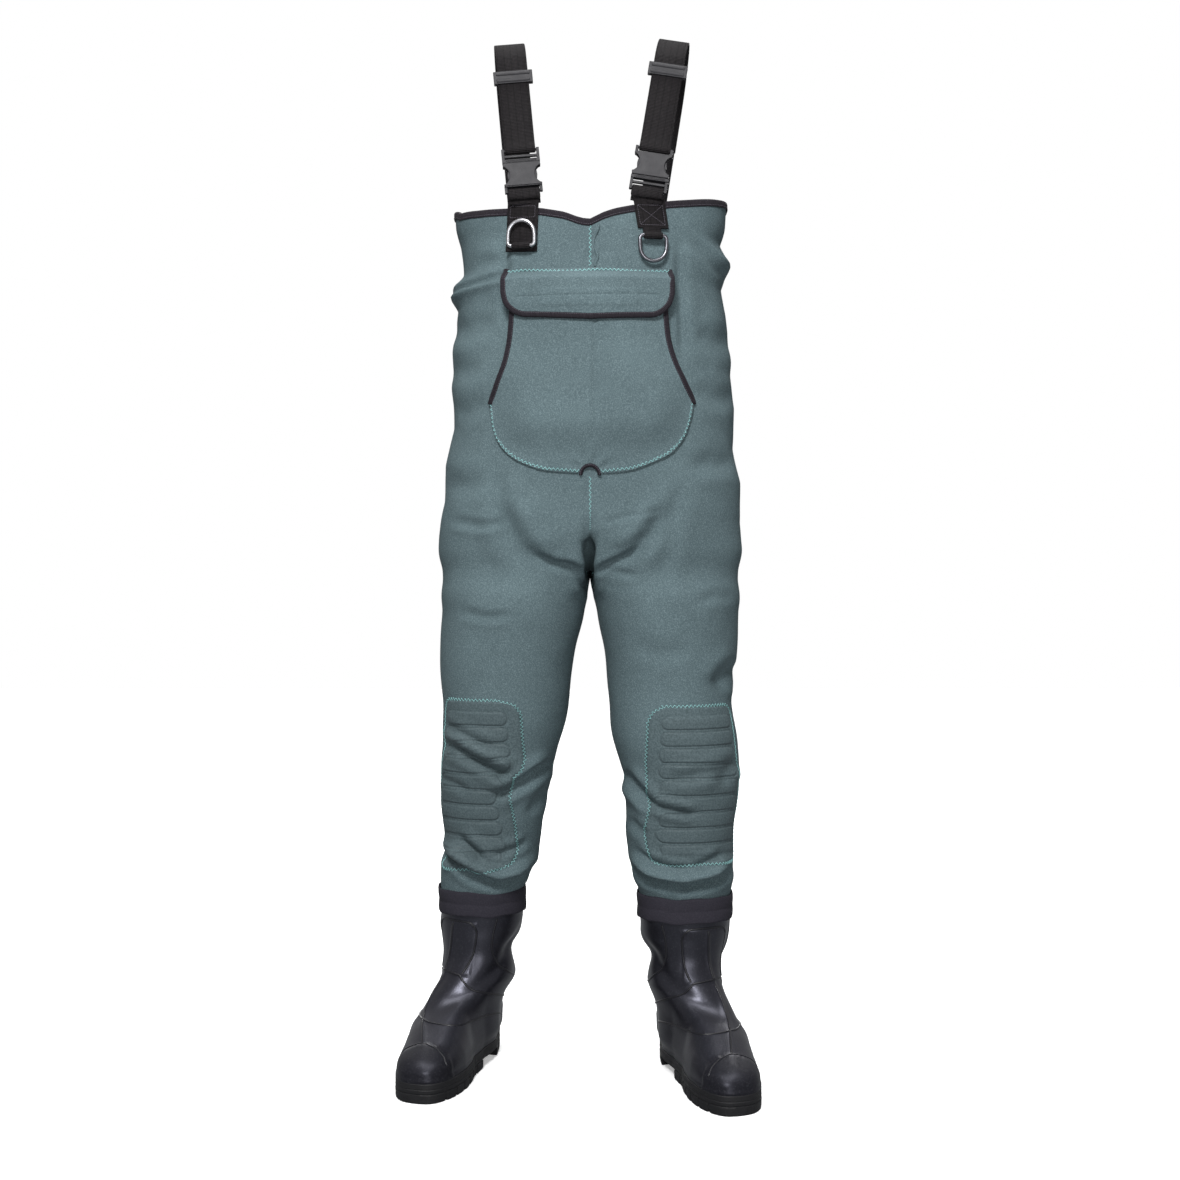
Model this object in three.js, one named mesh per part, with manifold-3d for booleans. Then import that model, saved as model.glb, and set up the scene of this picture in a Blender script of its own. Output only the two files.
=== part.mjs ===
// Neoprene chest waders with welded rubber boots, standing on their soles.
// Millimetres, +Z up. The wearer faces -Y, so the wearer's right side is at -X.
import * as THREE from "three";
import { mergeVertices } from "three/addons/utils/BufferGeometryUtils.js";
import Module from "manifold-3d";

const wasm = await Module();
wasm.setup();

// ---------------------------------------------------------------- driving dimensions

const GAP = 0.3; // clearance between pieces that touch
const NEOPRENE = 5; // wall of the suit
const RING_SIDES = 28; // points round each section of a tube
const ORIGIN = [19.2, 36]; // torso axis, measured from the middle of the footprint

// Sections of the suit: height, left and right edge, front and back edge, round the torso axis.
const TORSO = [
  [740, -190, 190, -84, 92],
  [762, -224, 224, -118, 126],
  [800, -226, 228, -127, 136],
  [860, -222, 226, -132, 138],
  [930, -212, 217, -134, 132],
  [1020, -204, 209, -132, 124],
  [1120, -204, 206, -132, 120],
  [1200, -197, 203, -130, 118],
  [1240, -200, 202, -128, 116],
  [1330, -204, 206, -120, 112],
];
const LEGS = {
  right: [
    [210, -231, -103, 6, 142],
    [262, -231, -103, 6, 142],
    [300, -232, -80, -8, 146],
    [330, -224, -77, -14, 134],
    [400, -228, -66, -36, 122],
    [470, -226, -52, -62, 114],
    [540, -224, -34, -82, 110],
    [620, -226, -24, -100, 112],
    [690, -222, -8, -112, 118],
    [750, -227, -3, -118, 128],
    [830, -205, -20, -100, 110],
  ],
  left: [
    [210, 75, 213, -44, 94],
    [262, 75, 213, -44, 94],
    [297, 62, 219, -58, 104],
    [340, 57, 217, -66, 98],
    [440, 50, 224, -84, 92],
    [500, 35, 220, -92, 94],
    [570, 27, 210, -98, 100],
    [620, 22, 224, -104, 108],
    [690, 10, 226, -112, 118],
    [750, 3, 227, -118, 128],
    [830, 20, 205, -100, 110],
  ],
};
const TORSO_POWER = 2.5; // squareness of a torso section
const LEG_POWER = 2.1;
const FULL_TORSO_Z = 780; // below this the torso closes under the crotch

// Height of the bib's rim along x, in front and behind.
const RIM_FRONT = [
  [-205, 1282], [-190, 1271], [-125, 1266], [-71, 1264], [-36, 1258], [0, 1247],
  [36, 1263], [60, 1268], [120, 1277], [205, 1294],
];
const RIM_BACK = [[-205, 1282], [-100, 1290], [0, 1292], [100, 1294], [205, 1294]];

// Seams between the panels of the suit.
const SEAM = { width: 0.35, side: [[186, 200], [186, 262], [135, 860], [130, 1400]], knee: 455 };
const INSEAM = { right: [[74, 200], [74, 262], [26, 455], [4, 700], [4, 790]], left: [[25, 200], [25, 262], [4, 455], [4, 790]] };

const BAND = { low: 228, high: 263, thick: 2.6 }; // tape round the joint of leg and boot
const LEG_END = 247; // where the neoprene meets the boot
const RIM_TAPE = { thick: 1.5, drop: 10 };

// Boots: place of the ankle on the floor, the way the shaft's top leans from it, turn-out.
const BOOTS = {
  right: { x: -185, y: 86, lean: [18, -12], turn: -18, shaft: [64, 68] },
  left: { x: 150, y: 36, lean: [-6, -11], turn: 17, shaft: [69, 69] },
};
const BOOT_WALL = 4;
const BOOT_TOP = LEG_END - GAP;
const SOLE = { low: 0, plate: 13, high: 25, toe: -258, heel: 64, heelFront: -12, ballBack: -74, halfWidth: 54 };
// Height, half width, toe end, heel end of the boot's upper below the shaft.
const FOOT = [
  [25, 50, -254, 60],
  [46, 52, -251, 61],
  [62, 50, -228, 61],
  [76, 47, -192, 60],
  [90, 45, -150, 59],
  [108, 45, -112, 58],
  [130, 47, -88, 58],
  [160, 51, -70, 61],
];
// How far the foot's middle line bows towards the other foot, along it from toe to heel.
const BOW = [[-258, 20], [-240, 18], [-207, 16], [-172, 12], [-138, 5], [-117, -1], [-68, -5], [-20, 0], [64, 0]];
const HEEL_BULGE = { sole: 8, above: 8 }; // the heel's inner side stands out this much, and more over the sole

const POCKET = { top: 1156, bottom: 887, bulge: 17, edge: 15, topGap: 10, wall: 4, x: -3 };
const FLAP = { top: 1178, bottom: 1106, half: 114, round: 34, wall: 4, out: 23 };
const WEBBING = { width: 44, thick: 2 };
const BUCKLE = { length: 66, half: 27, thick: 11, bar: 2.2, barAt: 2.8, mouth: 44, cavity: 24.5 };
const SLIDER = { width: 56, height: 18, thick: 9 };
const RUN = 200; // straight length of the strap's front run, from the buckle's lower end
const PITCH = THREE.MathUtils.degToRad(6.3); // lean of the front run towards the back
const STRAPS = {
  right: { x: -94, y: -125, z: 1286, lean: 5.3, yaw: 2.6, slider: 172, tab: [-98, 1216], ring: 1210, ringTurn: 0 },
  left: { x: 82, y: -125, z: 1288, lean: -9.2, yaw: -2.6, slider: 182, tab: [90, 1236], ring: 1224, ringTurn: 180 },
};
const STRAP_SPAN = 248; // front run to back run, at the buckle's lower end
const STRAP_RISE = 241; // buckle's lower end to the top of the arch
const D_RING = { half: 19, wire: 2.8, depth: 36 };

const COLOUR = {
  neoprene: new THREE.MeshStandardMaterial({ color: 0x5d7474, roughness: 0.85 }),
  pad: new THREE.MeshStandardMaterial({ color: 0x55696a, roughness: 0.8 }),
  tape: new THREE.MeshStandardMaterial({ color: 0x37313a, roughness: 0.8 }),
  webbing: new THREE.MeshStandardMaterial({ color: 0x2c2a2d, roughness: 0.8 }),
  plastic: new THREE.MeshStandardMaterial({ color: 0x3b3a40, roughness: 0.4 }),
  steel: new THREE.MeshStandardMaterial({ color: 0xb8b8bc, roughness: 0.25, metalness: 1 }),
  rubber: new THREE.MeshStandardMaterial({ color: 0x2d2c2f, roughness: 0.45 }),
  sole: new THREE.MeshStandardMaterial({ color: 0x1b1b1d, roughness: 0.7 }),
};

// ---------------------------------------------------------------- solids

const V = (x, y, z) => new THREE.Vector3(x, y, z);
const mix = THREE.MathUtils.lerp;
const smooth = (from, to, x) => THREE.MathUtils.smoothstep(x, from, to);

// The value at x on straight lines through pairs of (x, value).
function lookUp(pairs, x) {
  const k = Math.min(pairs.length - 2, Math.max(0, pairs.findIndex(([at]) => at >= x) - 1));
  const [[x0, a], [x1, b]] = [pairs[k], pairs[k + 1]];
  return mix(a, b, Math.min(1, Math.max(0, (x - x0) / (x1 - x0))));
}

// A closed solid through rings of points, each running anticlockwise seen against the way they go.
function loft(rings) {
  const n = rings[0].length;
  const points = rings.flat();
  const faces = [];
  for (let k = 0; k + 1 < rings.length; k++)
    for (let i = 0; i < n; i++) {
      const a = k * n + i;
      const b = k * n + ((i + 1) % n);
      faces.push(a, b, b + n, a, b + n, a + n);
    }
  for (const [ring, first, flip] of [[rings[0], 0, true], [rings.at(-1), points.length - n, false]]) {
    const centre = ring.reduce((sum, p) => sum.add(p), V(0, 0, 0)).divideScalar(n);
    points.push(centre);
    for (let i = 0; i < n; i++) {
      const pair = [first + i, first + ((i + 1) % n)];
      faces.push(points.length - 1, ...(flip ? pair.reverse() : pair));
    }
  }
  return new THREE.BufferGeometry().setFromPoints(points).setIndex(faces);
}

// A closed solid between two equal grids of points, the outer one seen from outside with rows
// going up and columns going right.
function sheet(outer, inner) {
  const rows = outer.length;
  const columns = outer[0].length;
  const points = [...outer.flat(), ...inner.flat()];
  const at = (i, j, side) => side * rows * columns + i * columns + j;
  const faces = [];
  for (let i = 0; i + 1 < rows; i++)
    for (let j = 0; j + 1 < columns; j++)
      for (const side of [0, 1]) {
        const [a, b, c, d] = [at(i, j, side), at(i, j + 1, side), at(i + 1, j + 1, side), at(i + 1, j, side)];
        faces.push(...(side ? [a, c, b, a, d, c] : [a, b, c, a, c, d]));
      }
  const rim = [];
  for (let j = 0; j < columns; j++) rim.push([0, j]);
  for (let i = 1; i < rows; i++) rim.push([i, columns - 1]);
  for (let j = columns - 2; j >= 0; j--) rim.push([rows - 1, j]);
  for (let i = rows - 2; i > 0; i--) rim.push([i, 0]);
  rim.forEach(([i, j], k) => {
    const [ni, nj] = rim[(k + 1) % rim.length];
    const [a, b, c, d] = [at(i, j, 0), at(ni, nj, 0), at(ni, nj, 1), at(i, j, 1)];
    faces.push(a, c, b, a, d, c);
  });
  return new THREE.BufferGeometry().setFromPoints(points).setIndex(faces);
}

// A flat outline pushed along the third axis, from one place to another.
const PLANES = {
  xy: [V(1, 0, 0), V(0, 1, 0), V(0, 0, 1)],
  xz: [V(1, 0, 0), V(0, 0, 1), V(0, -1, 0)],
  yz: [V(0, 1, 0), V(0, 0, 1), V(1, 0, 0)],
};
function prism(plane, outline, from, to) {
  const shape = new THREE.Shape(outline.map(([u, v]) => new THREE.Vector2(u, v)));
  const made = new THREE.ExtrudeGeometry(shape, { depth: to - from, bevelEnabled: false });
  const [, , along] = PLANES[plane];
  const start = plane === "xz" ? -to : from;
  made.translate(0, 0, start);
  made.applyMatrix4(new THREE.Matrix4().makeBasis(PLANES[plane][0], PLANES[plane][1], along));
  return made;
}

function box(x0, x1, y0, y1, z0, z1) {
  return new THREE.BoxGeometry(x1 - x0, y1 - y0, z1 - z0).translate((x0 + x1) / 2, (y0 + y1) / 2, (z0 + z1) / 2);
}

// A round rod along x.
function rod(radius, from, to, y, z, sides = 12) {
  return new THREE.CylinderGeometry(radius, radius, to - from, sides)
    .rotateZ(Math.PI / 2)
    .translate((from + to) / 2, y, z);
}

function solid(geometry) {
  const bare = geometry.clone();
  bare.deleteAttribute("normal");
  bare.deleteAttribute("uv");
  const merged = mergeVertices(bare, 1e-4);
  return new wasm.Manifold(
    new wasm.Mesh({
      numProp: 3,
      vertProperties: merged.attributes.position.array,
      triVerts: new Uint32Array(merged.index.array),
    }),
  );
}

function geometryOf(made) {
  const mesh = made.getMesh();
  return new THREE.BufferGeometry()
    .setAttribute("position", new THREE.BufferAttribute(mesh.vertProperties, 3))
    .setIndex(new THREE.BufferAttribute(mesh.triVerts, 1));
}

const group = new THREE.Group();
group.position.set(ORIGIN[0], ORIGIN[1], 0);

function piece(name, geometry, material, parent = group) {
  const made = geometry.isBufferGeometry ? geometry : geometryOf(geometry);
  const mesh = new THREE.Mesh(made, material);
  mesh.name = name;
  parent.add(mesh);
  return mesh;
}

// ---------------------------------------------------------------- suit

// A superellipse round one section, grown outwards.
function section([z, xMin, xMax, yFront, yBack], power, grow = 0) {
  const a = (xMax - xMin) / 2 + grow;
  const b = (yBack - yFront) / 2 + grow;
  return Array.from({ length: RING_SIDES }, (_, i) => {
    const turn = (2 * Math.PI * i) / RING_SIDES;
    const [c, s] = [Math.cos(turn), Math.sin(turn)];
    return V(
      (xMin + xMax) / 2 + a * Math.sign(c) * Math.abs(c) ** (2 / power),
      (yFront + yBack) / 2 + b * Math.sign(s) * Math.abs(s) ** (2 / power),
      z,
    );
  });
}

// The whole suit as one solid, grown outwards by a distance.
function suit(grow) {
  const torso = TORSO.map(([z, ...edges]) => section([z < FULL_TORSO_Z ? z - grow : z, ...edges], TORSO_POWER, grow));
  return Object.values(LEGS).reduce(
    (whole, leg) => whole.add(solid(loft(leg.map((s) => section(s, LEG_POWER, grow))))),
    solid(loft(torso)),
  );
}

// Everything below the rim, moved up by a distance.
function belowRim(up) {
  const outline = (line) => [
    [-400, 100],
    [400, 100],
    [400, line.at(-1)[1] + up],
    ...line.toReversed().map(([x, z]) => [x, z + up]),
    [-400, line[0][1] + up],
  ];
  return solid(prism("xz", outline(RIM_FRONT), -400, 0)).add(solid(prism("xz", outline(RIM_BACK), 0, 400)));
}

// A thin wall along a line, to cut a seam with.
function seamCut(plane, line, from, to) {
  const half = SEAM.width / 2;
  const there = line.map(([u, v]) => [u - half, v]);
  const back = line.toReversed().map(([u, v]) => [u + half, v]);
  return solid(prism(plane, [...back.toReversed(), ...there.toReversed()], from, to));
}

const SIDE_SIGN = { right: -1, left: 1 };

function heightOnLine(line, z) {
  const k = Math.max(0, line.findIndex(([, v]) => v >= z) - 1);
  const [[u0, v0], [u1, v1]] = [line[k], line[k + 1]];
  return mix(u0, u1, (z - v0) / (v1 - v0));
}

const SUIT = suit(0);

function suitPanels() {
  let shell = SUIT.subtract(suit(-NEOPRENE))
    .intersect(belowRim(0))
    .intersect(solid(box(-400, 400, -400, 400, LEG_END, 1400)));
  shell = shell.subtract(seamCut("xz", [[0, 600], [0, 1400]], -400, 400));
  for (const [side, sign] of Object.entries(SIDE_SIGN)) {
    const line = SEAM.side.map(([x, z]) => [sign * x, z]);
    shell = shell.subtract(seamCut("xz", line, -400, 400));
    const inner = sign < 0 ? [-150, 0] : [0, 120];
    shell = shell.subtract(seamCut("yz", INSEAM[side], ...inner));
    const edge = sign * heightOnLine(SEAM.side, SEAM.knee);
    const from = heightOnLine(INSEAM[side], SEAM.knee);
    const half = SEAM.width / 2;
    const [x0, x1] = [Math.min(edge, 0), Math.max(edge, 0)];
    shell = shell.subtract(solid(box(x0, x1, from, 400, SEAM.knee - half, SEAM.knee + half)));
  }
  for (const part of shell.decompose()) {
    const { min, max } = part.boundingBox();
    const side = min[0] + max[0] < 0 ? "right" : "left";
    const outer = side === "right" ? max[0] < -100 : min[0] > 100;
    const kind = outer ? "side" : max[2] < SEAM.knee + 1 ? "calf" : min[1] < -100 ? "front" : "back";
    piece(`${kind}_panel_${side}`, part, COLOUR.neoprene);
  }
}

function rimBinding() {
  const { thick, drop } = RIM_TAPE;
  const skin = suit(GAP + thick).subtract(suit(-NEOPRENE - GAP - thick));
  const core = suit(GAP).subtract(suit(-NEOPRENE - GAP)).intersect(belowRim(GAP));
  piece("rim_binding", skin.intersect(belowRim(GAP + thick)).subtract(belowRim(-drop)).subtract(core), COLOUR.tape);
}

// Rounded rectangle between two corners, leaning so that its top is moved sideways.
function padOutline(x0, x1, z0, z1, radius, shift) {
  const shape = new THREE.Shape();
  shape.moveTo(x0 + radius, z0);
  shape.absarc(x1 - radius, z0 + radius, radius, -Math.PI / 2, 0);
  shape.absarc(x1 - radius, z1 - radius, radius, 0, Math.PI / 2);
  shape.absarc(x0 + radius, z1 - radius, radius, Math.PI / 2, Math.PI);
  shape.absarc(x0 + radius, z0 + radius, radius, Math.PI, 1.5 * Math.PI);
  const points = shape.getPoints(4).slice(0, -1);
  return points.map((p) => [p.x + shift * ((p.y - z0) / (z1 - z0)), p.y]);
}

function kneePads() {
  const layer = suit(GAP + 3).subtract(suit(GAP));
  const outlines = {
    right: padOutline(-212, -104, 316, 562, 24, 6),
    left: padOutline(84, 208, 324, 562, 24, 0),
  };
  const backs = { right: 26, left: 0 };
  for (const side of ["right", "left"])
    piece(`knee_pad_${side}`, layer.intersect(solid(prism("xz", outlines[side], -300, backs[side]))), COLOUR.pad);
}

function bootBands() {
  for (const side of ["right", "left"]) {
    const edges = LEGS[side][1].slice(1);
    const tube = (grow, z0, z1) => solid(loft([z0, z1].map((z) => section([z, ...edges], LEG_POWER, grow))));
    const outer = tube(GAP + BAND.thick, BAND.low, BAND.high);
    const leg = suit(GAP + 0.2);
    piece(`boot_band_${side}`, outer.subtract(tube(GAP, 100, 400)).subtract(leg), COLOUR.tape);
  }
}

// ---------------------------------------------------------------- boots

// The outline of a foot at one height, in the boot's own frame: toes at -y, heel narrower than ball.
function footOutline(side, z, halfWidth, toe, heel, footness, power = 2.3) {
  const inner = side === "right" ? 1 : -1;
  const bulge = (HEEL_BULGE.sole + HEEL_BULGE.above * smooth(28, 50, z)) * (1 - smooth(122, 178, z));
  return Array.from({ length: RING_SIDES }, (_, i) => {
    const turn = (2 * Math.PI * i) / RING_SIDES;
    const [c, s] = [Math.cos(turn), Math.sin(turn)];
    const p = s < 0 ? mix(power, 2.8, footness) : power;
    const y = (toe + heel) / 2 + ((heel - toe) / 2) * Math.sign(s) * Math.abs(s) ** (2 / p);
    const waist = 1 - 0.22 * footness * smooth(-120, 20, y);
    const u = halfWidth * waist * Math.sign(c) * Math.abs(c) ** (2 / p);
    const out = Math.min(1, Math.max(0, (inner * u) / 40)) * bulge * smooth(-120, -20, y);
    return [u + inner * (out + footness * lookUp(BOW, y)), y];
  });
}

function bootRing(side, [z, halfWidth, toe, heel], grow) {
  const { x, y, lean, turn } = BOOTS[side];
  const rise = smooth(60, 225, z);
  const angle = THREE.MathUtils.degToRad(turn) * (1 - rise);
  const power = mix(2.3, LEG_POWER, rise);
  return footOutline(side, z, halfWidth + grow, toe - grow, heel + grow, 1 - smooth(60, 150, z), power).map(([u, v]) =>
    V(
      x + lean[0] * rise + u * Math.cos(angle) - v * Math.sin(angle),
      y + lean[1] * rise + u * Math.sin(angle) + v * Math.cos(angle),
      z,
    ),
  );
}

function bootSlices(side) {
  const [a, b] = BOOTS[side].shaft;
  return [...FOOT, [195, (a + 51) / 2 + 2, -66, 65], [226, a, -b, b], [BOOT_TOP, a, -b, b]];
}

function soleOutline(side) {
  const { x, y, turn } = BOOTS[side];
  const angle = THREE.MathUtils.degToRad(turn);
  return footOutline(side, 0, SOLE.halfWidth, SOLE.toe, SOLE.heel, 1).map(([u, v]) => [
    x + u * Math.cos(angle) - v * Math.sin(angle),
    y + u * Math.sin(angle) + v * Math.cos(angle),
  ]);
}

// A bar across the sole, to cut a groove with.
function groove(side, at, width, low, high) {
  const { x, y, turn } = BOOTS[side];
  return solid(box(-80, 80, at - width / 2, at + width / 2, low, high).rotateZ(THREE.MathUtils.degToRad(turn)).translate(x, y, 0));
}

function boots() {
  const floor = SOLE.high + GAP;
  for (const side of ["right", "left"]) {
    const slices = bootSlices(side);
    const outer = solid(loft(slices.map((s) => bootRing(side, s[0] === SOLE.high ? [floor, ...s.slice(1)] : s, 0))));
    const hollow = slices.map(([z, ...rest]) => {
      const onFoot = z > SOLE.high && z < 120;
      const at = z === SOLE.high ? floor + BOOT_WALL : z > 240 ? z + 20 : onFoot ? z - BOOT_WALL : z;
      return bootRing(side, [at, ...rest], -BOOT_WALL);
    });
    piece(`boot_upper_${side}`, outer.subtract(solid(loft(hollow))), COLOUR.rubber);

    const waist = (SOLE.ballBack + SOLE.heelFront) / 2;
    let sole = solid(prism("xy", soleOutline(side), SOLE.low, SOLE.high));
    sole = sole.subtract(groove(side, waist, SOLE.heelFront - SOLE.ballBack, -1, SOLE.plate));
    for (const at of [-230, -205, -180, -155, -130, -105]) sole = sole.subtract(groove(side, at, 7, -1, 5));
    for (const at of [14, 38]) sole = sole.subtract(groove(side, at, 7, -1, 5));
    piece(`boot_outsole_${side}`, sole, COLOUR.sole);

    const bed = bootRing(side, [0, 44, -240, 54], 0).map((p) => [p.x, p.y]);
    const insole = prism("xy", bed, floor + BOOT_WALL + GAP, floor + BOOT_WALL + GAP + 4);
    piece(`boot_insole_${side}`, insole, COLOUR.webbing);
  }
}

// ---------------------------------------------------------------- pocket and flap

// Where the bib's outer surface is at a place on its front, or its back.
function bibY(x, z, back = false) {
  const k = Math.min(TORSO.length - 2, Math.max(0, TORSO.findIndex(([h]) => h >= z) - 1));
  const t = (z - TORSO[k][0]) / (TORSO[k + 1][0] - TORSO[k][0]);
  const [, x0, x1, y0, y1] = TORSO[k].map((v, i) => mix(v, TORSO[k + 1][i], t));
  const across = Math.min(1, Math.abs(x - (x0 + x1) / 2) / ((x1 - x0) / 2));
  const depth = ((y1 - y0) / 2) * (1 - across ** TORSO_POWER) ** (1 / TORSO_POWER);
  return (y0 + y1) / 2 + (back ? depth : -depth);
}

// Half width of the pocket at a height: narrow at the top, widest where the hand openings end.
function pocketHalf(z) {
  const wide = 146;
  const corner = 96;
  if (z > 988) return mix(wide, 106, smooth(0, 1, (z - 988) / 130) ** 0.75);
  const down = (988 - z) / (988 - POCKET.bottom);
  return wide - corner * (1 - Math.sqrt(Math.max(0, 1 - down ** 2.4)));
}

// How far the pocket's inner face stands off the bib.
function pocketGap(x, z) {
  const up = (z - POCKET.bottom) / (POCKET.top - POCKET.bottom);
  const across = Math.min(1, Math.abs(x) / pocketHalf(z));
  const sewn = smooth(0, 0.22, up);
  const closing = smooth(0.55, 1, across) * (1 - smooth(988, 1020, z));
  const top = mix(POCKET.bulge, POCKET.topGap, smooth(0.6, 1, up));
  const edge = mix(top, POCKET.edge, smooth(0.5, 1, across));
  return 0.8 + (edge - 0.8) * sewn * (1 - closing);
}

// A patch lying in front of the bib: rows of heights, half widths, distances off the bib.
function frontPatch(heights, columns, half, off, wall, centre = POCKET.x) {
  const grid = (extra) =>
    heights.map((z) =>
      Array.from({ length: columns }, (_, j) => {
        const x = half(z) * ((2 * j) / (columns - 1) - 1);
        return V(centre + x, bibY(centre + x, z) - off(x, z) - extra, z);
      }),
    );
  return sheet(grid(wall), grid(0));
}

// A strip of square section along points, used for edge tapes.
function strip(points, width, thick) {
  const frames = points.map((p, k) => {
    const along = points[Math.min(k + 1, points.length - 1)].clone().sub(points[Math.max(k - 1, 0)]).normalize();
    const across = V(0, -1, 0).cross(along).normalize();
    return { p, across, out: along.clone().cross(across) };
  });
  return ribbon(frames, width, thick);
}

function pocket() {
  const heights = [887, 895, 905, 920, 940, 962, 988, 1004, 1020, 1045, 1080, 1120, POCKET.top];
  const panel = solid(frontPatch(heights, 13, pocketHalf, pocketGap, POCKET.wall));
  const notch = solid(rodY(13, -200, -60, POCKET.x, POCKET.bottom - 2));
  piece("pocket_panel", panel.subtract(notch), COLOUR.neoprene);

  for (const [side, sign] of Object.entries(SIDE_SIGN)) {
    const line = [1002, 1020, 1045, 1080, 1120, POCKET.top].map((z) => {
      const x = sign * (pocketHalf(z) + 5);
      return V(POCKET.x + x, bibY(POCKET.x + x, z) - pocketGap(sign * pocketHalf(z), z) - POCKET.wall / 2, z);
    });
    piece(`pocket_binding_${side}`, strip(line, 8, 4.6), COLOUR.tape);
  }

  const arc = [20, 55, 90, 125, 160].map((turn) => {
    const angle = THREE.MathUtils.degToRad(turn);
    const [x, z] = [9 * Math.cos(angle), POCKET.bottom - 2 + 9 * Math.sin(angle)];
    return V(POCKET.x + x, bibY(POCKET.x + x, Math.max(z, 888)) - 3.4, z);
  });
  piece("pocket_drain_binding", strip(arc, 5, 4.5), COLOUR.tape);

  const loopOff = (x, z) => pocketGap(x, z) + POCKET.wall + 3 * GAP;
  piece("pocket_loop_strip", frontPatch([1122, 1144], 7, () => 70, loopOff, 1.2), COLOUR.webbing);
}

function rodY(radius, from, to, x, z) {
  return new THREE.CylinderGeometry(radius, radius, to - from, 16).translate(x, (from + to) / 2, z);
}

function flapHalf(z) {
  const down = Math.max(0, (FLAP.bottom + FLAP.round - z) / FLAP.round);
  return FLAP.half - FLAP.round * (1 - Math.sqrt(Math.max(0, 1 - down * down)));
}

// The flap's inner face: close to the bib at its sewn top edge, clear of the pocket below it.
function flapGap(x, z) {
  return mix(FLAP.out, 1.2, smooth(FLAP.top - 14, FLAP.top, z));
}

function flap() {
  const heights = [1106, 1109, 1114, 1124, 1140, 1162, 1168, 1174, 1178];
  piece("pocket_flap", frontPatch(heights, 11, flapHalf, flapGap, FLAP.wall), COLOUR.neoprene);

  const edge = [[-FLAP.half - 5.2, 1172], [-FLAP.half - 5.2, 1156]];
  for (const turn of [0, 22.5, 45, 67.5, 90]) {
    const angle = THREE.MathUtils.degToRad(turn);
    const reach = FLAP.round + 5.2;
    edge.push([-FLAP.half + FLAP.round - reach * Math.cos(angle), FLAP.bottom + FLAP.round - reach * Math.sin(angle)]);
  }
  edge.push([-40, FLAP.bottom - 5.2]);
  const whole = [...edge, [0, FLAP.bottom - 5.2], ...edge.toReversed().map(([x, z]) => [-x, z])];
  const line = whole.map(([x, z]) => {
    const on = Math.max(z, 1106);
    return V(POCKET.x + x, bibY(POCKET.x + x, on) - flapGap(x, on) - FLAP.wall / 2, z);
  });
  piece("flap_binding", strip(line, 8, 4.6), COLOUR.tape);

  const hookOff = (x, z) => flapGap(x, z) - 1.2 - 2 * GAP;
  piece("flap_hook_strip", frontPatch([1122, 1144], 7, () => 70, hookOff, 1.2), COLOUR.webbing);
}

// ---------------------------------------------------------------- straps

// A flat band through frames, each a point with the direction across it and the one out of its face.
function ribbon(frames, width, thick) {
  const corners = [[-1, 1], [-1, -1], [1, -1], [1, 1]];
  return loft(
    frames.map(({ p, across, out }) =>
      corners.map(([u, v]) => p.clone().addScaledVector(across, (u * width) / 2).addScaledVector(out, (v * thick) / 2)),
    ),
  );
}

// A band in the strap's own plane, through points (depth, height).
function band(points, width, thick) {
  const frames = points.map(([y, z], k) => {
    const [y0, z0] = points[Math.max(k - 1, 0)];
    const [y1, z1] = points[Math.min(k + 1, points.length - 1)];
    const along = V(0, y1 - y0, z1 - z0).normalize();
    return { p: V(0, y, z), across: V(1, 0, 0), out: along.clone().cross(V(1, 0, 0)) };
  });
  return ribbon(frames, width, thick);
}

// A point of the front run: distance along it from the buckle's lower end, distance behind its middle.
const onRun = (along, behind) => [
  along * Math.sin(PITCH) + behind * Math.cos(PITCH),
  along * Math.cos(PITCH) - behind * Math.sin(PITCH),
];
const mirrored = ([y, z]) => [STRAP_SPAN - y, z];

// Half turn of webbing round a bar, from behind it to the front of it or back.
function roundBar(barAt, radius, up) {
  return [90, 54, 18, -18, -54, -90].map((turn) => {
    const angle = THREE.MathUtils.degToRad(turn);
    return onRun(barAt - (up ? 1 : -1) * radius * Math.cos(angle), radius * Math.sin(angle));
  });
}

function shoulderStrapLine() {
  const start = [onRun(BUCKLE.length + 1.5, 3.1), onRun(BUCKLE.length + 16, 1.3), onRun(130, 1.3), onRun(RUN, 1.3)];
  const from = new THREE.Vector2(...onRun(RUN, 1.3));
  const top = new THREE.Vector2(STRAP_SPAN / 2, STRAP_RISE);
  const lead = new THREE.Vector2(Math.sin(PITCH), Math.cos(PITCH)).multiplyScalar(26);
  const arch = new THREE.CubicBezierCurve(from, from.clone().add(lead), top.clone().sub(new THREE.Vector2(48, 0)), top);
  const rise = arch.getPoints(6).slice(1).map((p) => [p.x, p.y]);
  const fall = rise.slice(0, -1).toReversed().map(mirrored);
  return [...start, ...rise, ...fall, mirrored(onRun(RUN, 1.3)), mirrored(onRun(125, 1.3))];
}

// The buckle's two halves, in a frame with the lower end at 0 and z along the strap.
function socketSolid() {
  const { half, thick, bar, barAt, mouth, cavity } = BUCKLE;
  const body = solid(box(-half, half, -thick / 2, thick / 2, 10, mouth));
  const arms = [-1, 1].map((s) => solid(box(s > 0 ? 23 : -half, s > 0 ? half : -23, -3, 3, 0.6, 11)));
  let made = body.add(arms[0]).add(arms[1]).add(solid(rod(bar, -24, 24, 0, barAt)));
  made = made.subtract(solid(box(-cavity, cavity, -3.2, 3.2, 13, mouth + 5)));
  for (const s of [-1, 1]) made = made.subtract(solid(rodY(13, -20, 20, s * 33, 26)));
  return made;
}

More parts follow.
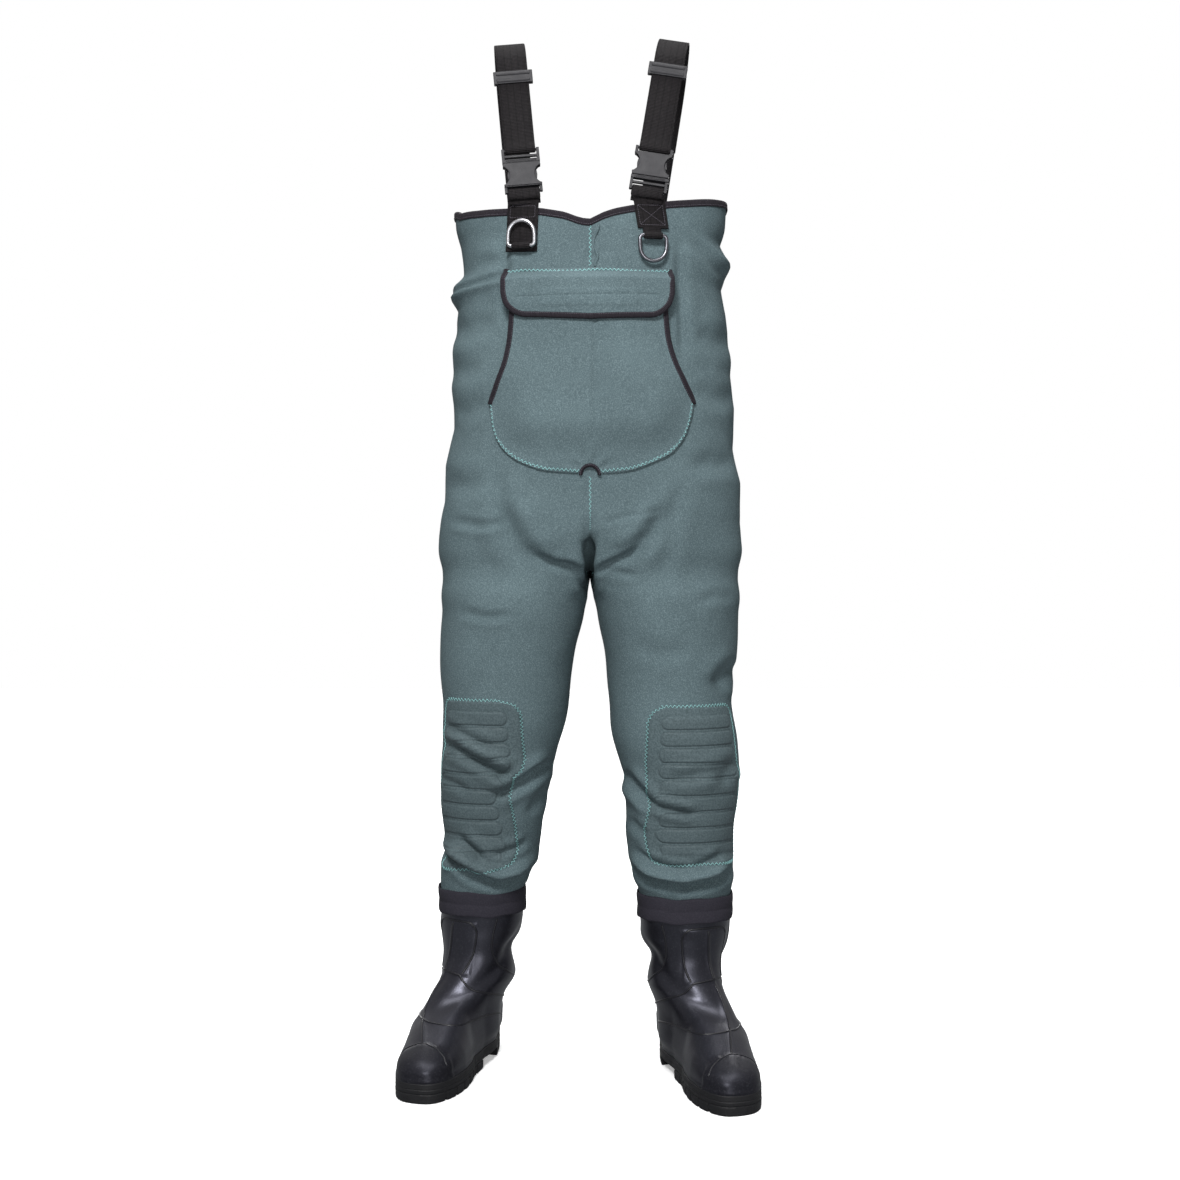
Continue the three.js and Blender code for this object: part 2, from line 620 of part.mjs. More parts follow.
function plugSolid() {
  const { length, half, bar, barAt, mouth } = BUCKLE;
  const base = solid(box(-half, half, -4.5, 4.5, mouth + GAP, 49));
  const blade = solid(box(-6, 6, -2.8, 2.8, 20, 46));
  const arms = [-1, 1].map((s) => solid(box(s > 0 ? 23 : -half, s > 0 ? half : -23, -3, 3, 48, length - 0.6)));
  const grip = solid(box(-24, 24, -2.6, 2.6, 52.5, 56.5));
  return base.add(blade).add(arms[0]).add(arms[1]).add(grip).add(solid(rod(bar, -24, 24, 0, length - barAt)));
}

function prongGeometry(sign) {
  const outline = [
    [10.5, 44], [12.2, 38], [15.8, 31], [16.6, 24], [12.4, 18], [14, 16],
    [20, 18], [23.2, 22], [24.2, 27], [23.6, 32], [17.6, 38], [16, 44],
  ];
  const side = sign > 0 ? outline : outline.map(([x, z]) => [-x, z]).toReversed();
  return prism("xz", side, -2.8, 2.8);
}

function sliderSolid(at) {
  const { width, height, thick } = SLIDER;
  const outer = solid(box(-width / 2, width / 2, -thick / 2, thick / 2, at - height / 2, at + height / 2));
  return outer.subtract(solid(box(-24, 24, -2.9, 2.9, at - height, at + height)));
}

// The webbing tab: sewn on the bib, over the rim, and up round the buckle's lower bar.
function tabFrames(side, frame) {
  const { x, z, tab } = STRAPS[side];
  const frames = [];
  const rimTop = z - 22;
  for (const h of [tab[1], tab[1] + 18, (tab[1] + rimTop) / 2 + 8, rimTop]) {
    const t = (h - tab[1]) / (z - tab[1]);
    const cx = mix(tab[0], x, t);
    const slope = bibY(cx + 5, h) - bibY(cx - 5, h);
    const across = V(10, slope, 0).normalize();
    const out = V(-slope, 10, 0).normalize();
    frames.push({ p: V(cx, bibY(cx, h), h).addScaledVector(out, -4.4), across, out });
  }
  const turnPoints = roundBar(BUCKLE.barAt, BUCKLE.bar + GAP + 1.1, false).toReversed();
  const before = onRun(-9, -2.4);
  const after = onRun(-7, 2.6);
  const line = [before, ...turnPoints, after];
  line.forEach(([y, h], k) => {
    const [y0, h0] = line[Math.max(k - 1, 0)];
    const [y1, h1] = line[Math.min(k + 1, line.length - 1)];
    const along = V(0, y1 - y0, h1 - h0).normalize();
    const out = along.clone().cross(V(1, 0, 0));
    const turned = (v) => v.clone().transformDirection(frame);
    frames.push({ p: V(0, y, h).applyMatrix4(frame), across: turned(V(1, 0, 0)), out: turned(out) });
  });
  return frames;
}

// A steel D: a straight bar through the origin along x, and a round bow above it.
function dRing() {
  const { half, wire, depth } = D_RING;
  const bow = [];
  for (let k = 0; k <= 8; k++) {
    const angle = (Math.PI * k) / 8;
    bow.push([half * Math.cos(angle), depth - half + half * Math.sin(angle)]);
  }
  const line = [[-half, 3], [-half + 3, 0], [half - 3, 0], [half, 3], ...bow];
  const n = line.length;
  const sides = 8;
  const points = [];
  const faces = [];
  line.forEach(([x, z], k) => {
    const [x0, z0] = line[(k + n - 1) % n];
    const [x1, z1] = line[(k + 1) % n];
    const out = V(z1 - z0, 0, x0 - x1).normalize();
    for (let i = 0; i < sides; i++) {
      const turn = (2 * Math.PI * i) / sides;
      points.push(V(x, 0, z).addScaledVector(out, wire * Math.cos(turn)).addScaledVector(V(0, 1, 0), wire * Math.sin(turn)));
      const [a, b] = [k * sides + i, k * sides + ((i + 1) % sides)];
      const [c, d] = [a, b].map((v) => (v + sides) % (n * sides));
      faces.push(a, b, d, a, d, c);
    }
  });
  const made = new THREE.BufferGeometry().setFromPoints(points).setIndex(faces);
  return made;
}

function ringKeeper() {
  const outer = solid(rod(D_RING.wire + GAP + 2, -13, 13, 0, 0, 16));
  return outer.subtract(solid(rod(D_RING.wire + GAP, -20, 20, 0, 0, 16)));
}

function strapSide(side) {
  const { x, y, z, lean, yaw, slider, tab, ring, ringTurn } = STRAPS[side];
  const plane = new THREE.Group(); // the strap's own plane: x across, y depth, z up
  plane.position.set(x, y, z);
  plane.rotation.set(0, THREE.MathUtils.degToRad(-lean), THREE.MathUtils.degToRad(yaw), "ZYX");
  group.add(plane);
  const buckle = new THREE.Group(); // the same with z along the front run
  buckle.rotation.x = -PITCH;
  plane.add(buckle);
  plane.updateMatrix();

  // The socket is sewn to the bib on the right and to the strap on the left.
  const upsideDown = side === "left";
  const half = new THREE.Group();
  if (upsideDown) {
    half.rotation.y = Math.PI;
    half.position.z = BUCKLE.length;
  }
  buckle.add(half);
  piece(`buckle_socket_${side}`, socketSolid(), COLOUR.plastic, half);
  piece(`buckle_plug_${side}`, plugSolid(), COLOUR.plastic, half);
  piece(`buckle_prong_${side}_${upsideDown ? "outer" : "inner"}`, prongGeometry(upsideDown ? -1 : 1), COLOUR.plastic, half);
  piece(`buckle_prong_${side}_${upsideDown ? "inner" : "outer"}`, prongGeometry(upsideDown ? 1 : -1), COLOUR.plastic, half);

  piece(`strap_slider_${side}`, sliderSolid(slider), COLOUR.plastic, buckle);
  piece(`shoulder_strap_${side}`, band(shoulderStrapLine(), WEBBING.width, WEBBING.thick), COLOUR.webbing, plane);
  const barAt = BUCKLE.length - BUCKLE.barAt;
  const turn = roundBar(barAt, BUCKLE.bar + GAP + 1, true);
  const run = [onRun(barAt + 14, -1.3), onRun(slider - 30, -1.3), onRun(slider - 4, -1.3)];
  piece(`strap_return_${side}`, band([...turn, ...run], WEBBING.width, WEBBING.thick), COLOUR.webbing, plane);
  const elastic = [onRun(150, 4.2), onRun(120, 3.8), onRun(60, 3.4), onRun(4, 3.4), [2, -14], [4, -44]].map(mirrored);
  piece(`strap_elastic_${side}`, band(elastic, WEBBING.width - 2, 1.8), COLOUR.webbing, plane);

  const tabPiece = ribbon(tabFrames(side, plane.matrix), WEBBING.width + 1, 2.2);
  piece(`strap_tab_${side}`, tabPiece, COLOUR.webbing);

  const slope = bibY(tab[0] + 5, ring) - bibY(tab[0] - 5, ring);
  const holder = new THREE.Group();
  holder.position.set(tab[0], bibY(tab[0], ring) - 10, ring);
  holder.rotation.z = Math.atan2(slope, 10);
  group.add(holder);
  piece(`ring_keeper_${side}`, ringKeeper(), COLOUR.webbing, holder);
  const bow = piece(`d_ring_${side}`, dRing(), COLOUR.steel, holder);
  bow.rotation.x = THREE.MathUtils.degToRad(ringTurn);
}

suitPanels();
rimBinding();
kneePads();
bootBands();
boots();
pocket();
flap();
for (const side of ["right", "left"]) strapSide(side);

export default group;
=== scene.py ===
import math

import bmesh
import bpy
import numpy as np
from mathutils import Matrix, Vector, noise


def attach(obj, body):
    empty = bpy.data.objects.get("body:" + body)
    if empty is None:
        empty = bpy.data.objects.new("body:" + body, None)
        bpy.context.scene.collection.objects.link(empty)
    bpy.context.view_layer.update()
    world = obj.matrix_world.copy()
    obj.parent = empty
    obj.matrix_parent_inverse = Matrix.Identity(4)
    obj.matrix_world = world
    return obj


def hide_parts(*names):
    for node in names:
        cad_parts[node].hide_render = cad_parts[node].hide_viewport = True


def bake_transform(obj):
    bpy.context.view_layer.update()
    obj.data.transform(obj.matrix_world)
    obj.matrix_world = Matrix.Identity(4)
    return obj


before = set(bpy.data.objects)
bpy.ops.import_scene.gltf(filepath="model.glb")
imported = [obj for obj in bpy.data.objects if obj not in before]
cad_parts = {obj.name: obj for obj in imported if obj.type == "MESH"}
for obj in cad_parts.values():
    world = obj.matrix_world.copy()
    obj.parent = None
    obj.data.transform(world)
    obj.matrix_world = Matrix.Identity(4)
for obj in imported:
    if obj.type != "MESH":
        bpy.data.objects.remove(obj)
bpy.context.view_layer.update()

# ------------------------------------------------------------------ dimensions, in mm round the torso axis

ORIGIN = np.array([19.2, 36.0, 0.0])  # torso axis in the row frame
NEOPRENE = 4.6
TORSO = [  # height, lowest and highest x, lowest and highest y
    [742, -200, 200, -96, 104], [762, -222, 222, -116, 124], [800, -225, 226, -126, 135],
    [860, -220, 223, -131, 137], [930, -212, 216, -133, 131], [1020, -204, 209, -132, 124],
    [1120, -204, 206, -131, 120], [1200, -198, 203, -129, 118], [1240, -200, 202, -127, 116],
    [1330, -204, 206, -120, 112],
]
LEGS = {  # the same, right leg (-1) and left leg (1)
    -1: [
        [210, -231, -103, 6, 142], [262, -231, -103, 6, 142], [300, -230, -82, -8, 144],
        [330, -224, -77, -14, 134], [400, -228, -66, -36, 122], [470, -226, -52, -62, 114],
        [540, -224, -34, -82, 110], [620, -226, -24, -100, 112], [690, -222, -8, -112, 118],
        [750, -225, -3, -117, 127], [830, -205, -20, -100, 110],
    ],
    1: [
        [210, 75, 213, -44, 94], [262, 75, 213, -44, 94], [297, 64, 218, -56, 102], [340, 57, 217, -66, 98],
        [440, 50, 223, -84, 92], [500, 35, 220, -92, 94], [570, 27, 212, -98, 100], [620, 22, 222, -104, 108],
        [690, 10, 225, -112, 118], [750, 3, 226, -117, 127], [830, 20, 205, -100, 110],
    ],
}
RIM_FRONT = [  # x, height
    [-205, 1284], [-190, 1271], [-163, 1268], [-125, 1266], [-71, 1264], [-36, 1258], [-14, 1250], [0, 1247],
    [14, 1256], [36, 1263], [60, 1268], [107, 1275], [145, 1281], [190, 1290], [205, 1295],
]
RIM_BACK = [[-205, 1284], [-100, 1290], [0, 1292], [100, 1294], [205, 1294]]
SIDE_SEAM = [[200, 186], [262, 186], [860, 135], [1400, 130]]
INSEAM = {
    -1: [[200, 74], [262, 74], [455, 26], [700, 4], [790, 4]],
    1: [[200, 25], [262, 25], [455, 4], [790, 4]],
}
KNEE_Z = 455
LEG_END = 247
JOIN_Z = 800  # the torso's lowest full ring
CROTCH_Z, RIM_Z = 752, 1290
# how square each part's sections are: 2 is an ellipse
TORSO_POWER, LEG_POWER, FOOT_POWER, TOE_POWER = 2.5, 2.1, 2.3, 2.8
SIDES = {"right": -1, "left": 1}
STITCH_GAP = 0.14  # part of a stitch's pitch that is left free at each end

# ------------------------------------------------------------------ small helpers


def smooth(lo, hi, x):
    t = np.clip((np.asarray(x, float) - lo) / (hi - lo), 0, 1)
    return t * t * (3 - 2 * t)


def bump(x, width):
    """1 where x is 0, falling away to both sides."""
    return np.exp(-((x / width) ** 2))


def hermite(t, h, a, slope_a, b, slope_b):
    """The curve from a to b over a step h, at the share t of it."""
    start = (1 + 2 * t) * (1 - t) ** 2 * a + t * (1 - t) ** 2 * h * slope_a
    return start + t * t * (3 - 2 * t) * b + t * t * (t - 1) * h * slope_b


def table(rows, z):
    """A smooth curve through rows of [height, values...]."""
    rows = np.array(rows, float)
    zs, vals = rows[:, 0], rows[:, 1:]
    slope = np.gradient(vals, zs, axis=0)
    z = np.clip(z, zs[0], zs[-1])
    k = np.clip(np.searchsorted(zs, z) - 1, 0, len(zs) - 2)
    h = zs[k + 1] - zs[k]
    return hermite((z - zs[k]) / h, h, vals[k], slope[k], vals[k + 1], slope[k + 1])


def line(rows, x):
    rows = np.array(rows, float)
    return np.interp(x, rows[:, 0], rows[:, 1])


def turns(count):
    """Angles spread evenly round a full turn."""
    return np.linspace(0, 2 * math.pi, count, endpoint=False)


def circle(count):
    return np.stack([np.cos(turns(count)), np.sin(turns(count))], 1)


def distance(path):
    """How far along a path each of its points is."""
    return np.concatenate([[0], np.cumsum(np.linalg.norm(np.diff(path, axis=0), axis=1))])


def pick(values, at, keys):
    """Rows of values at the places at, between those that keys give."""
    return np.stack([np.interp(at, keys, column) for column in np.asarray(values).T], -1)


def apart(path, gap):
    """Marks the points of a path that are further than gap from the one before."""
    return np.concatenate([[True], np.linalg.norm(np.diff(path, axis=0), axis=1) > gap])


def unit(v):
    v = np.asarray(v, float)
    return v / np.maximum(np.linalg.norm(v, axis=-1, keepdims=True), 1e-9)


def heading(path):
    return unit(np.gradient(path, axis=0))


def metres(points):
    return (np.asarray(points, float) + ORIGIN) / 1000


def linked(name, data):
    """A new object in the scene."""
    obj = bpy.data.objects.new(name, data)
    bpy.context.scene.collection.objects.link(obj)
    return obj


def finish(obj, body, nodes=(), material=None, shade=True):
    """Gives a piece its material, its body and the nodes that it replaces."""
    if material:
        obj.data.materials.append(material)
    if shade and obj.type == "MESH":
        obj.data.polygons.foreach_set("use_smooth", [True] * len(obj.data.polygons))
    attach(obj, body)
    if nodes:
        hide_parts(*nodes)
    return obj


def blend_between(obj):
    """Takes a piece off its body and bakes its place into its mesh."""
    obj.parent = None
    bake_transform(obj)


def mesh_object(name, points, faces, uvs=None):
    """A mesh from points in mm. uvs are per point, in mm."""
    data = bpy.data.meshes.new(name)
    data.from_pydata(metres(points).tolist(), [], [tuple(map(int, f)) for f in faces])
    if uvs is not None:
        layer = data.uv_layers.new(name="UVMap")
        loops = np.empty(len(data.loops), int)
        data.loops.foreach_get("vertex_index", loops)
        layer.data.foreach_set("uv", (np.asarray(uvs, float)[loops] / 1000).ravel())
    data.validate()
    data.update()
    return linked(name, data)


def paint(obj, values):
    """Marks each point of a mesh with how worn or printed it is, or on the knee pads how much painted shade its
    grooves take, for its material.
    """
    layer = obj.data.attributes.new("mark", "FLOAT", "POINT")
    layer.data.foreach_set("value", np.asarray(values, np.float32).ravel())


def grid_faces(rows, cols, wrap=False, start=0, flip=False):
    faces = []
    for i in range(rows - 1):
        for j in range(cols if wrap else cols - 1):
            a, b = start + i * cols + j, start + i * cols + (j + 1) % cols
            face = (a, b, b + cols, a + cols)
            faces.append(face[::-1] if flip else face)
    return faces


def outward(obj):
    """Turns the faces of a closed mesh outwards."""
    bm = bmesh.new()
    bm.from_mesh(obj.data)
    bmesh.ops.recalc_face_normals(bm, faces=bm.faces)
    bm.to_mesh(obj.data)
    bm.free()
    return obj


def thicken(obj, thick, offset=-1.0):
    mod = obj.modifiers.new("thick", "SOLIDIFY")
    mod.thickness = thick / 1000
    mod.offset = offset
    mod.use_even_offset = False
    return mod


def bevel(obj, width, segments=2, angle=40):
    mod = obj.modifiers.new("bevel", "BEVEL")
    mod.width = width / 1000
    mod.segments = segments
    mod.limit_method = "ANGLE"
    mod.angle_limit = math.radians(angle)
    return mod


def prism(name, rings, uvs=None):
    """A closed solid through rings of points, flat at both ends."""
    rows, count = rings.shape[:2]
    ends = [tuple(range(count))[::-1], tuple((rows - 1) * count + k for k in range(count))]
    return outward(mesh_object(name, rings.reshape(-1, 3), grid_faces(rows, count, wrap=True) + ends, uvs))


def sweep(name, path, across, out, profile, closed=False):
    """A profile of (across, out) points, in mm, swept along a path."""
    path, across, out, profile = (np.asarray(v, float) for v in (path, across, out, profile))
    rings = path[:, None] + across[:, None] * profile[None, :, :1] + out[:, None] * profile[None, :, 1:]
    uvs = np.stack(np.broadcast_arrays(distance(profile)[None, :], distance(path)[:, None]), -1).reshape(-1, 2)
    if not closed:
        return prism(name, rings, uvs)
    count, last = len(profile), (len(path) - 1) * len(profile)
    faces = grid_faces(len(path), count, wrap=True)
    faces += [(last + j, last + (j + 1) % count, (j + 1) % count, j) for j in range(count)]
    return outward(mesh_object(name, rings.reshape(-1, 3), faces, uvs))


def wire(name, lines, radius, resolution):
    """A round wire through each line of points."""
    curve = bpy.data.curves.new(name, "CURVE")
    curve.dimensions = "3D"
    curve.bevel_depth = radius / 1000
    curve.bevel_resolution = resolution
    for points in lines:
        spline = curve.splines.new("POLY")
        spline.points.add(len(points) - 1)
        spline.points.foreach_set("co", np.concatenate([metres(points), np.ones((len(points), 1))], 1).ravel())
    return linked(name, curve)


def thread(
    name, path, across, out, body, slot, material, width=3.4, pitch=2.6, radius=0.5, lift=0.3, dashes=False
):
    """Zigzag stitching along a path, or a row of single stitches."""
    path, across, out = (np.asarray(v, float) for v in (path, across, out))
    along = distance(path)
    count = max(2, int(along[-1] / pitch))
    at = np.linspace(0, along[-1], count + 1)
    p, a, o = (pick(v, at, along) for v in (path, across, out))
    if dashes:
        parts = (STITCH_GAP, 1 - STITCH_GAP)
        lines = [np.stack([p[k] + (p[k + 1] - p[k]) * t + o[k] * lift for t in parts]) for k in range(count)]
    else:
        side = np.where(np.arange(count + 1) % 2, 0.5, -0.5)[:, None] * width
        lines = [p + a * side + o * lift]
    return finish(wire(name, lines, radius, 1), body, material=material)


def sewn(name, body, keys, path, across, out, a, b, lift, count):
    """A row of stitches on a strap, from a to b, each given as (across, key)."""
    u, at = np.linspace(a[0], b[0], count), np.linspace(a[1], b[1], count)
    p, ac, ou = (pick(v, at, keys) for v in (path, across, out))
    thread(name, p + ac * u[:, None] + ou * lift, ac, ou, body, "webbing", MAT["dark_thread"],
           pitch=2.8, radius=0.34, lift=0.1, dashes=True)


# ------------------------------------------------------------------ materials


def srgb(r, g, b):
    return tuple(((v / 255 + 0.055) / 1.055) ** 2.4 if v > 10 else v / 255 / 12.92 for v in (r, g, b)) + (1.0,)


BLACK, WHITE = (0, 0, 0, 1), (1, 1, 1, 1)


class Look:
    """A procedural material, built node by node."""

    def __init__(self, name, colour, roughness, metallic=0.0, specular=0.5):
        self.material = bpy.data.materials.new(name)
        self.material.use_nodes = True
        self.tree = self.material.node_tree
        self.shader = self.tree.nodes["Principled BSDF"]
        self.shader.inputs["Base Color"].default_value = colour
        self.shader.inputs["Roughness"].default_value = roughness
        self.shader.inputs["Metallic"].default_value = metallic
        self.shader.inputs["Specular IOR Level"].default_value = specular
        self.coords = self.node("ShaderNodeTexCoord")

    def node(self, kind, **values):
        made = self.tree.nodes.new(kind)
        for key, value in values.items():
            if key in made.inputs:
                made.inputs[key].default_value = value
            else:
                setattr(made, key, value)
        return made

    def link(self, a, b):
        self.tree.links.new(a, b)

    def noise(self, scale, detail=3.0, stretch=(1, 1, 1)):
        made = self.node("ShaderNodeTexNoise", Scale=scale, Detail=detail)
        place = self.node("ShaderNodeMapping", Scale=stretch)
        self.link(self.coords.outputs["Object"], place.inputs["Vector"])
        self.link(place.outputs["Vector"], made.inputs["Vector"])
        return made.outputs["Fac"]

    def mark(self):
        return self.node("ShaderNodeAttribute", attribute_name="mark").outputs["Fac"]

    def wave(self, scale, direction, distortion=0.0):
        made = self.node("ShaderNodeTexWave", Scale=scale, Distortion=distortion, bands_direction=direction)
        self.link(self.coords.outputs["UV"], made.inputs["Vector"])
        return made.outputs["Fac"]

    def math(self, kind, a, b):
        made = self.node("ShaderNodeMath", operation=kind)
        for socket, value in zip(made.inputs, (a, b)):
            if isinstance(value, (int, float)):
                socket.default_value = value
            else:
                self.link(value, socket)
        return made.outputs[0]

    def times(self, a, b):
        return self.math("MULTIPLY", a, b)

    def plus(self, a, b):
        return self.math("ADD", a, b)

    def ramp(self, fac, stops):
        made = self.node("ShaderNodeValToRGB")
        ramp = made.color_ramp
        while len(ramp.elements) < len(stops):
            ramp.elements.new(0.5)
        for element, (at, colour) in zip(ramp.elements, stops):
            element.position, element.color = at, colour
        self.link(fac, made.inputs["Fac"])
        return made.outputs["Color"]

    def mix(self, fac, a, b):
        made = self.node("ShaderNodeMix", data_type="RGBA")
        for socket, value in ((made.inputs[0], fac), (made.inputs[6], a), (made.inputs[7], b)):
            if isinstance(value, (int, float, tuple)):
                socket.default_value = value
            else:
                self.link(value, socket)
        return made.outputs[2]

    def colour(self, socket):
        self.link(socket, self.shader.inputs["Base Color"])

    def spread(self, socket, low, high, to="Roughness"):
        made = self.node("ShaderNodeMapRange", **{"To Min": low, "To Max": high})
        self.link(socket, made.inputs["Value"])
        self.link(made.outputs["Result"], self.shader.inputs[to])

    def bump(self, height, distance, strength=1.0):
        made = self.node("ShaderNodeBump", Strength=strength, Distance=distance)
        self.link(height, made.inputs["Height"])
        last = self.shader.inputs["Normal"]
        if last.is_linked:
            self.link(last.links[0].from_socket, made.inputs["Normal"])
        self.link(made.outputs["Normal"], last)


def neoprene_look(name, colour, dark, light, grain=0.5):
    """Knitted cloth on foam rubber: cloudy, with a fine grain of lighter and darker threads."""
    look = Look(name, colour, 0.9, specular=0.16)
    cloud = look.noise(11, 4)
    speck = look.noise(640, 2)
    fine = look.noise(1500, 1, stretch=(1, 1, 0.5))
    tone = look.ramp(cloud, [(0.3, dark), (0.7, colour)])
    if grain:
        spots = look.ramp(speck, [(0.36, dark), (0.5, colour), (0.66, light)])
        tone = look.mix(grain, tone, spots)
    look.colour(tone)
    look.bump(speck, 0.0006, 0.6)
    look.bump(fine, 0.0003, 0.6)
    return look.material


def webbing_look(name, colour, light, striped=False):
    """Woven tape: cross ribs over the warp, a few worn threads, and dark lines along it where it is striped."""
    look = Look(name, colour, 0.7, specular=0.2)
    rib = look.wave(150, "Y", distortion=0.6)
    warp = look.wave(300, "X")
    weave = look.times(rib, look.plus(look.times(warp, 0.6), 0.4))
    worn = look.ramp(look.noise(420, 2, (1, 1, 0.35)), [(0.52, BLACK), (0.7, WHITE)])
    tone = look.mix(look.times(weave, 0.9), colour, light)
    tone = look.mix(look.times(worn, 0.45), tone, light)
    look.bump(weave, 0.0009)
    if striped:
        stripe = look.ramp(look.wave(32.6, "X"), [(0.0, WHITE), (0.07, BLACK)])
        tone = look.mix(look.times(stripe, 0.6), tone, (0.004, 0.004, 0.004, 1))
        look.bump(stripe, -0.0006, 0.6)
    look.colour(tone)
    return look.material


def plain_look(name, colour, roughness, metallic=0.0, bump=0.0):
    look = Look(name, colour, roughness, metallic, 0.35)
    look.spread(look.noise(90, 4), roughness - 0.06, roughness + 0.1)
    if bump:
        look.bump(look.noise(700, 3), bump)
    return look.material


def rubber_look():
    """Black rubber: cloudy and fairly glossy, duller where it is marked as worn."""
    look = Look("boot_rubber", srgb(26, 26, 30), 0.4)
    look.spread(look.mark(), 0.6, 0.19, "Specular IOR Level")
    look.shader.inputs["Specular Tint"].default_value = (0.82, 0.83, 1.0, 1)
    cloud = look.noise(9, 5)
    scuff = look.noise(330, 8)
    fine = look.noise(480, 4)
    base = look.ramp(cloud, [(0.3, srgb(14, 14, 18)), (0.7, srgb(24, 24, 29))])
    dusty = look.times(look.mark(), look.ramp(scuff, [(0.4, BLACK), (0.72, WHITE)]))
    base = look.mix(look.times(dusty, 0.05), base, srgb(90, 90, 93))
    speck = look.ramp(fine, [(0.55, BLACK), (0.7, WHITE)])
    look.colour(look.mix(look.times(speck, 0.08), base, srgb(120, 122, 130)))
    look.spread(look.plus(look.times(cloud, 0.5), look.times(look.mark(), 0.2)), 0.3, 0.46)
    look.bump(fine, 0.0003, 0.45)
    look.bump(cloud, 0.002, 0.3)
    return look.material


def pad_look():
    """The knee pads' cloth, with a smoother, darker print on the ribs, and the same darker colour as painted
    shade in the groove round each rib.
    """
    look = Look("knee_pad", srgb(80, 97, 100), 0.85, specular=0.3)
    speck = look.noise(430, 2)
    cloth = look.ramp(speck, [(0.36, srgb(71, 85, 88)), (0.64, srgb(90, 105, 109))])
    # darker colour for the print on the ribs, also used as painted shade in the grooves round them
    print_and_groove_shade = look.ramp(speck, [(0.35, srgb(66, 78, 82)), (0.65, srgb(78, 91, 94))])
    look.colour(look.mix(look.mark(), cloth, print_and_groove_shade))
    look.spread(look.mark(), 0.88, 0.6)
    look.bump(speck, 0.0005, 0.5)
    return look.material


MAT = {
    "neoprene": neoprene_look("neoprene", srgb(91, 108, 112), srgb(76, 91, 95), srgb(124, 142, 147), 0.5),
    "lining": neoprene_look("lining", srgb(50, 55, 57), srgb(40, 45, 47), srgb(60, 66, 68), 0.2),
    "pad": pad_look(),
    "thread": plain_look("thread", srgb(146, 198, 198), 0.7),
    "seam": plain_look("seam_thread", srgb(84, 104, 107), 0.8),
    "tape": neoprene_look("boot_tape", srgb(50, 48, 56), srgb(42, 41, 48), srgb(62, 60, 68), 0.4),
    "hook": webbing_look("hook", srgb(30, 30, 32), srgb(52, 52, 54)),
    "elastic": webbing_look("elastic", srgb(19, 18, 20), srgb(48, 46, 49), True),
    "dark_thread": plain_look("dark_thread", srgb(88, 84, 92), 0.7),
    "binding": webbing_look("binding", srgb(34, 30, 36), srgb(54, 49, 56)),
    "webbing": webbing_look("webbing", srgb(19, 17, 19), srgb(44, 40, 42), True),
    "plastic": plain_look("buckle_plastic", srgb(34, 33, 37), 0.52, bump=0.0002),
    "steel": plain_look("steel", srgb(190, 190, 194), 0.3, metallic=1.0),
    "gunmetal": plain_look("gunmetal", srgb(118, 118, 124), 0.3, metallic=1.0),
    "rubber": rubber_look(),
    "rubber_line": plain_look("boot_line", srgb(24, 24, 29), 0.34),
    "sole": plain_look("outsole", srgb(18, 18, 21), 0.6, bump=0.0004),
    "insole": webbing_look("insole", srgb(44, 42, 46), srgb(70, 68, 72)),
}

# ------------------------------------------------------------------ the suit's surface

COLUMNS = {"crotch": 12, "front": 24, "side": 34, "back": 24}
STEP = 4.0


def power_angle(u, p):
    return np.sign(u) * np.abs(u) ** (p / 2)


def superellipse(centre, half, turned, power):
    return centre + half * np.sign(turned) * np.abs(turned) ** (2 / power)


def on_section(section, t, power):
    """Points at angles t of a section given by its lowest and highest x and y."""
    x0, x1, y0, y1 = section
    x = superellipse((x0 + x1) / 2, (x1 - x0) / 2, np.cos(t), power)
    y = superellipse((y0 + y1) / 2, (y1 - y0) / 2, np.sin(t), power)
    return x, y


def spans(marks, counts):
    """Angles from mark to mark, with so many steps in each span."""
    parts = [np.linspace(a, b, n, endpoint=False) for a, b, n in zip(marks, marks[1:], counts)]
    return np.concatenate(parts + [[marks[-1]]])


def cross_angle(section, x, p, front):
    u = np.clip((x - (section[0] + section[1]) / 2) / ((section[1] - section[0]) / 2), -1, 1)
    return (-1 if front else 1) * math.acos(float(power_angle(u, p)))


def torso_row(sign, z):
    """Points of half a ring of the torso, from the centre front round the side to the centre back."""
    section, p = table(TORSO, z), TORSO_POWER
    seam = sign * line(SIDE_SEAM, z)
    back = 0 if sign > 0 else -2 * math.pi
    marks = [cross_angle(section, x, p, True) for x in (0, seam)]
    marks += [cross_angle(section, x, p, False) + back for x in (seam, 0)]
    t = spans(marks, [COLUMNS[k] for k in ("front", "side", "back")])
    return np.stack(on_section(section, t, p), 1)


def leg_row(sign, z):
    """Points of a whole ring of a leg, from the inseam round the front."""
    section, p = table(LEGS[sign], z), LEG_POWER
    seam = sign * line(SIDE_SEAM, z)
    middle, half = (section[2] + section[3]) / 2, (section[3] - section[2]) / 2
    lift = math.asin(float(power_angle(np.clip((line(INSEAM[sign], z) - middle) / half, -1, 1), p)))
    start = -math.pi - lift if sign > 0 else lift
    inner = math.radians(40)
    front = -math.pi + inner if sign > 0 else -inner
    back = math.pi - inner if sign > 0 else inner - 2 * math.pi
    seam_back = cross_angle(section, seam, p, False) + (0 if sign > 0 else -2 * math.pi)
    marks = [start, front, cross_angle(section, seam, p, True), seam_back, back, start + 2 * math.pi * sign]
    t = spans(marks, [COLUMNS[k] for k in ("crotch", "front", "side", "back", "crotch")])[:-1]
    return np.stack(on_section(section, t, p), 1)


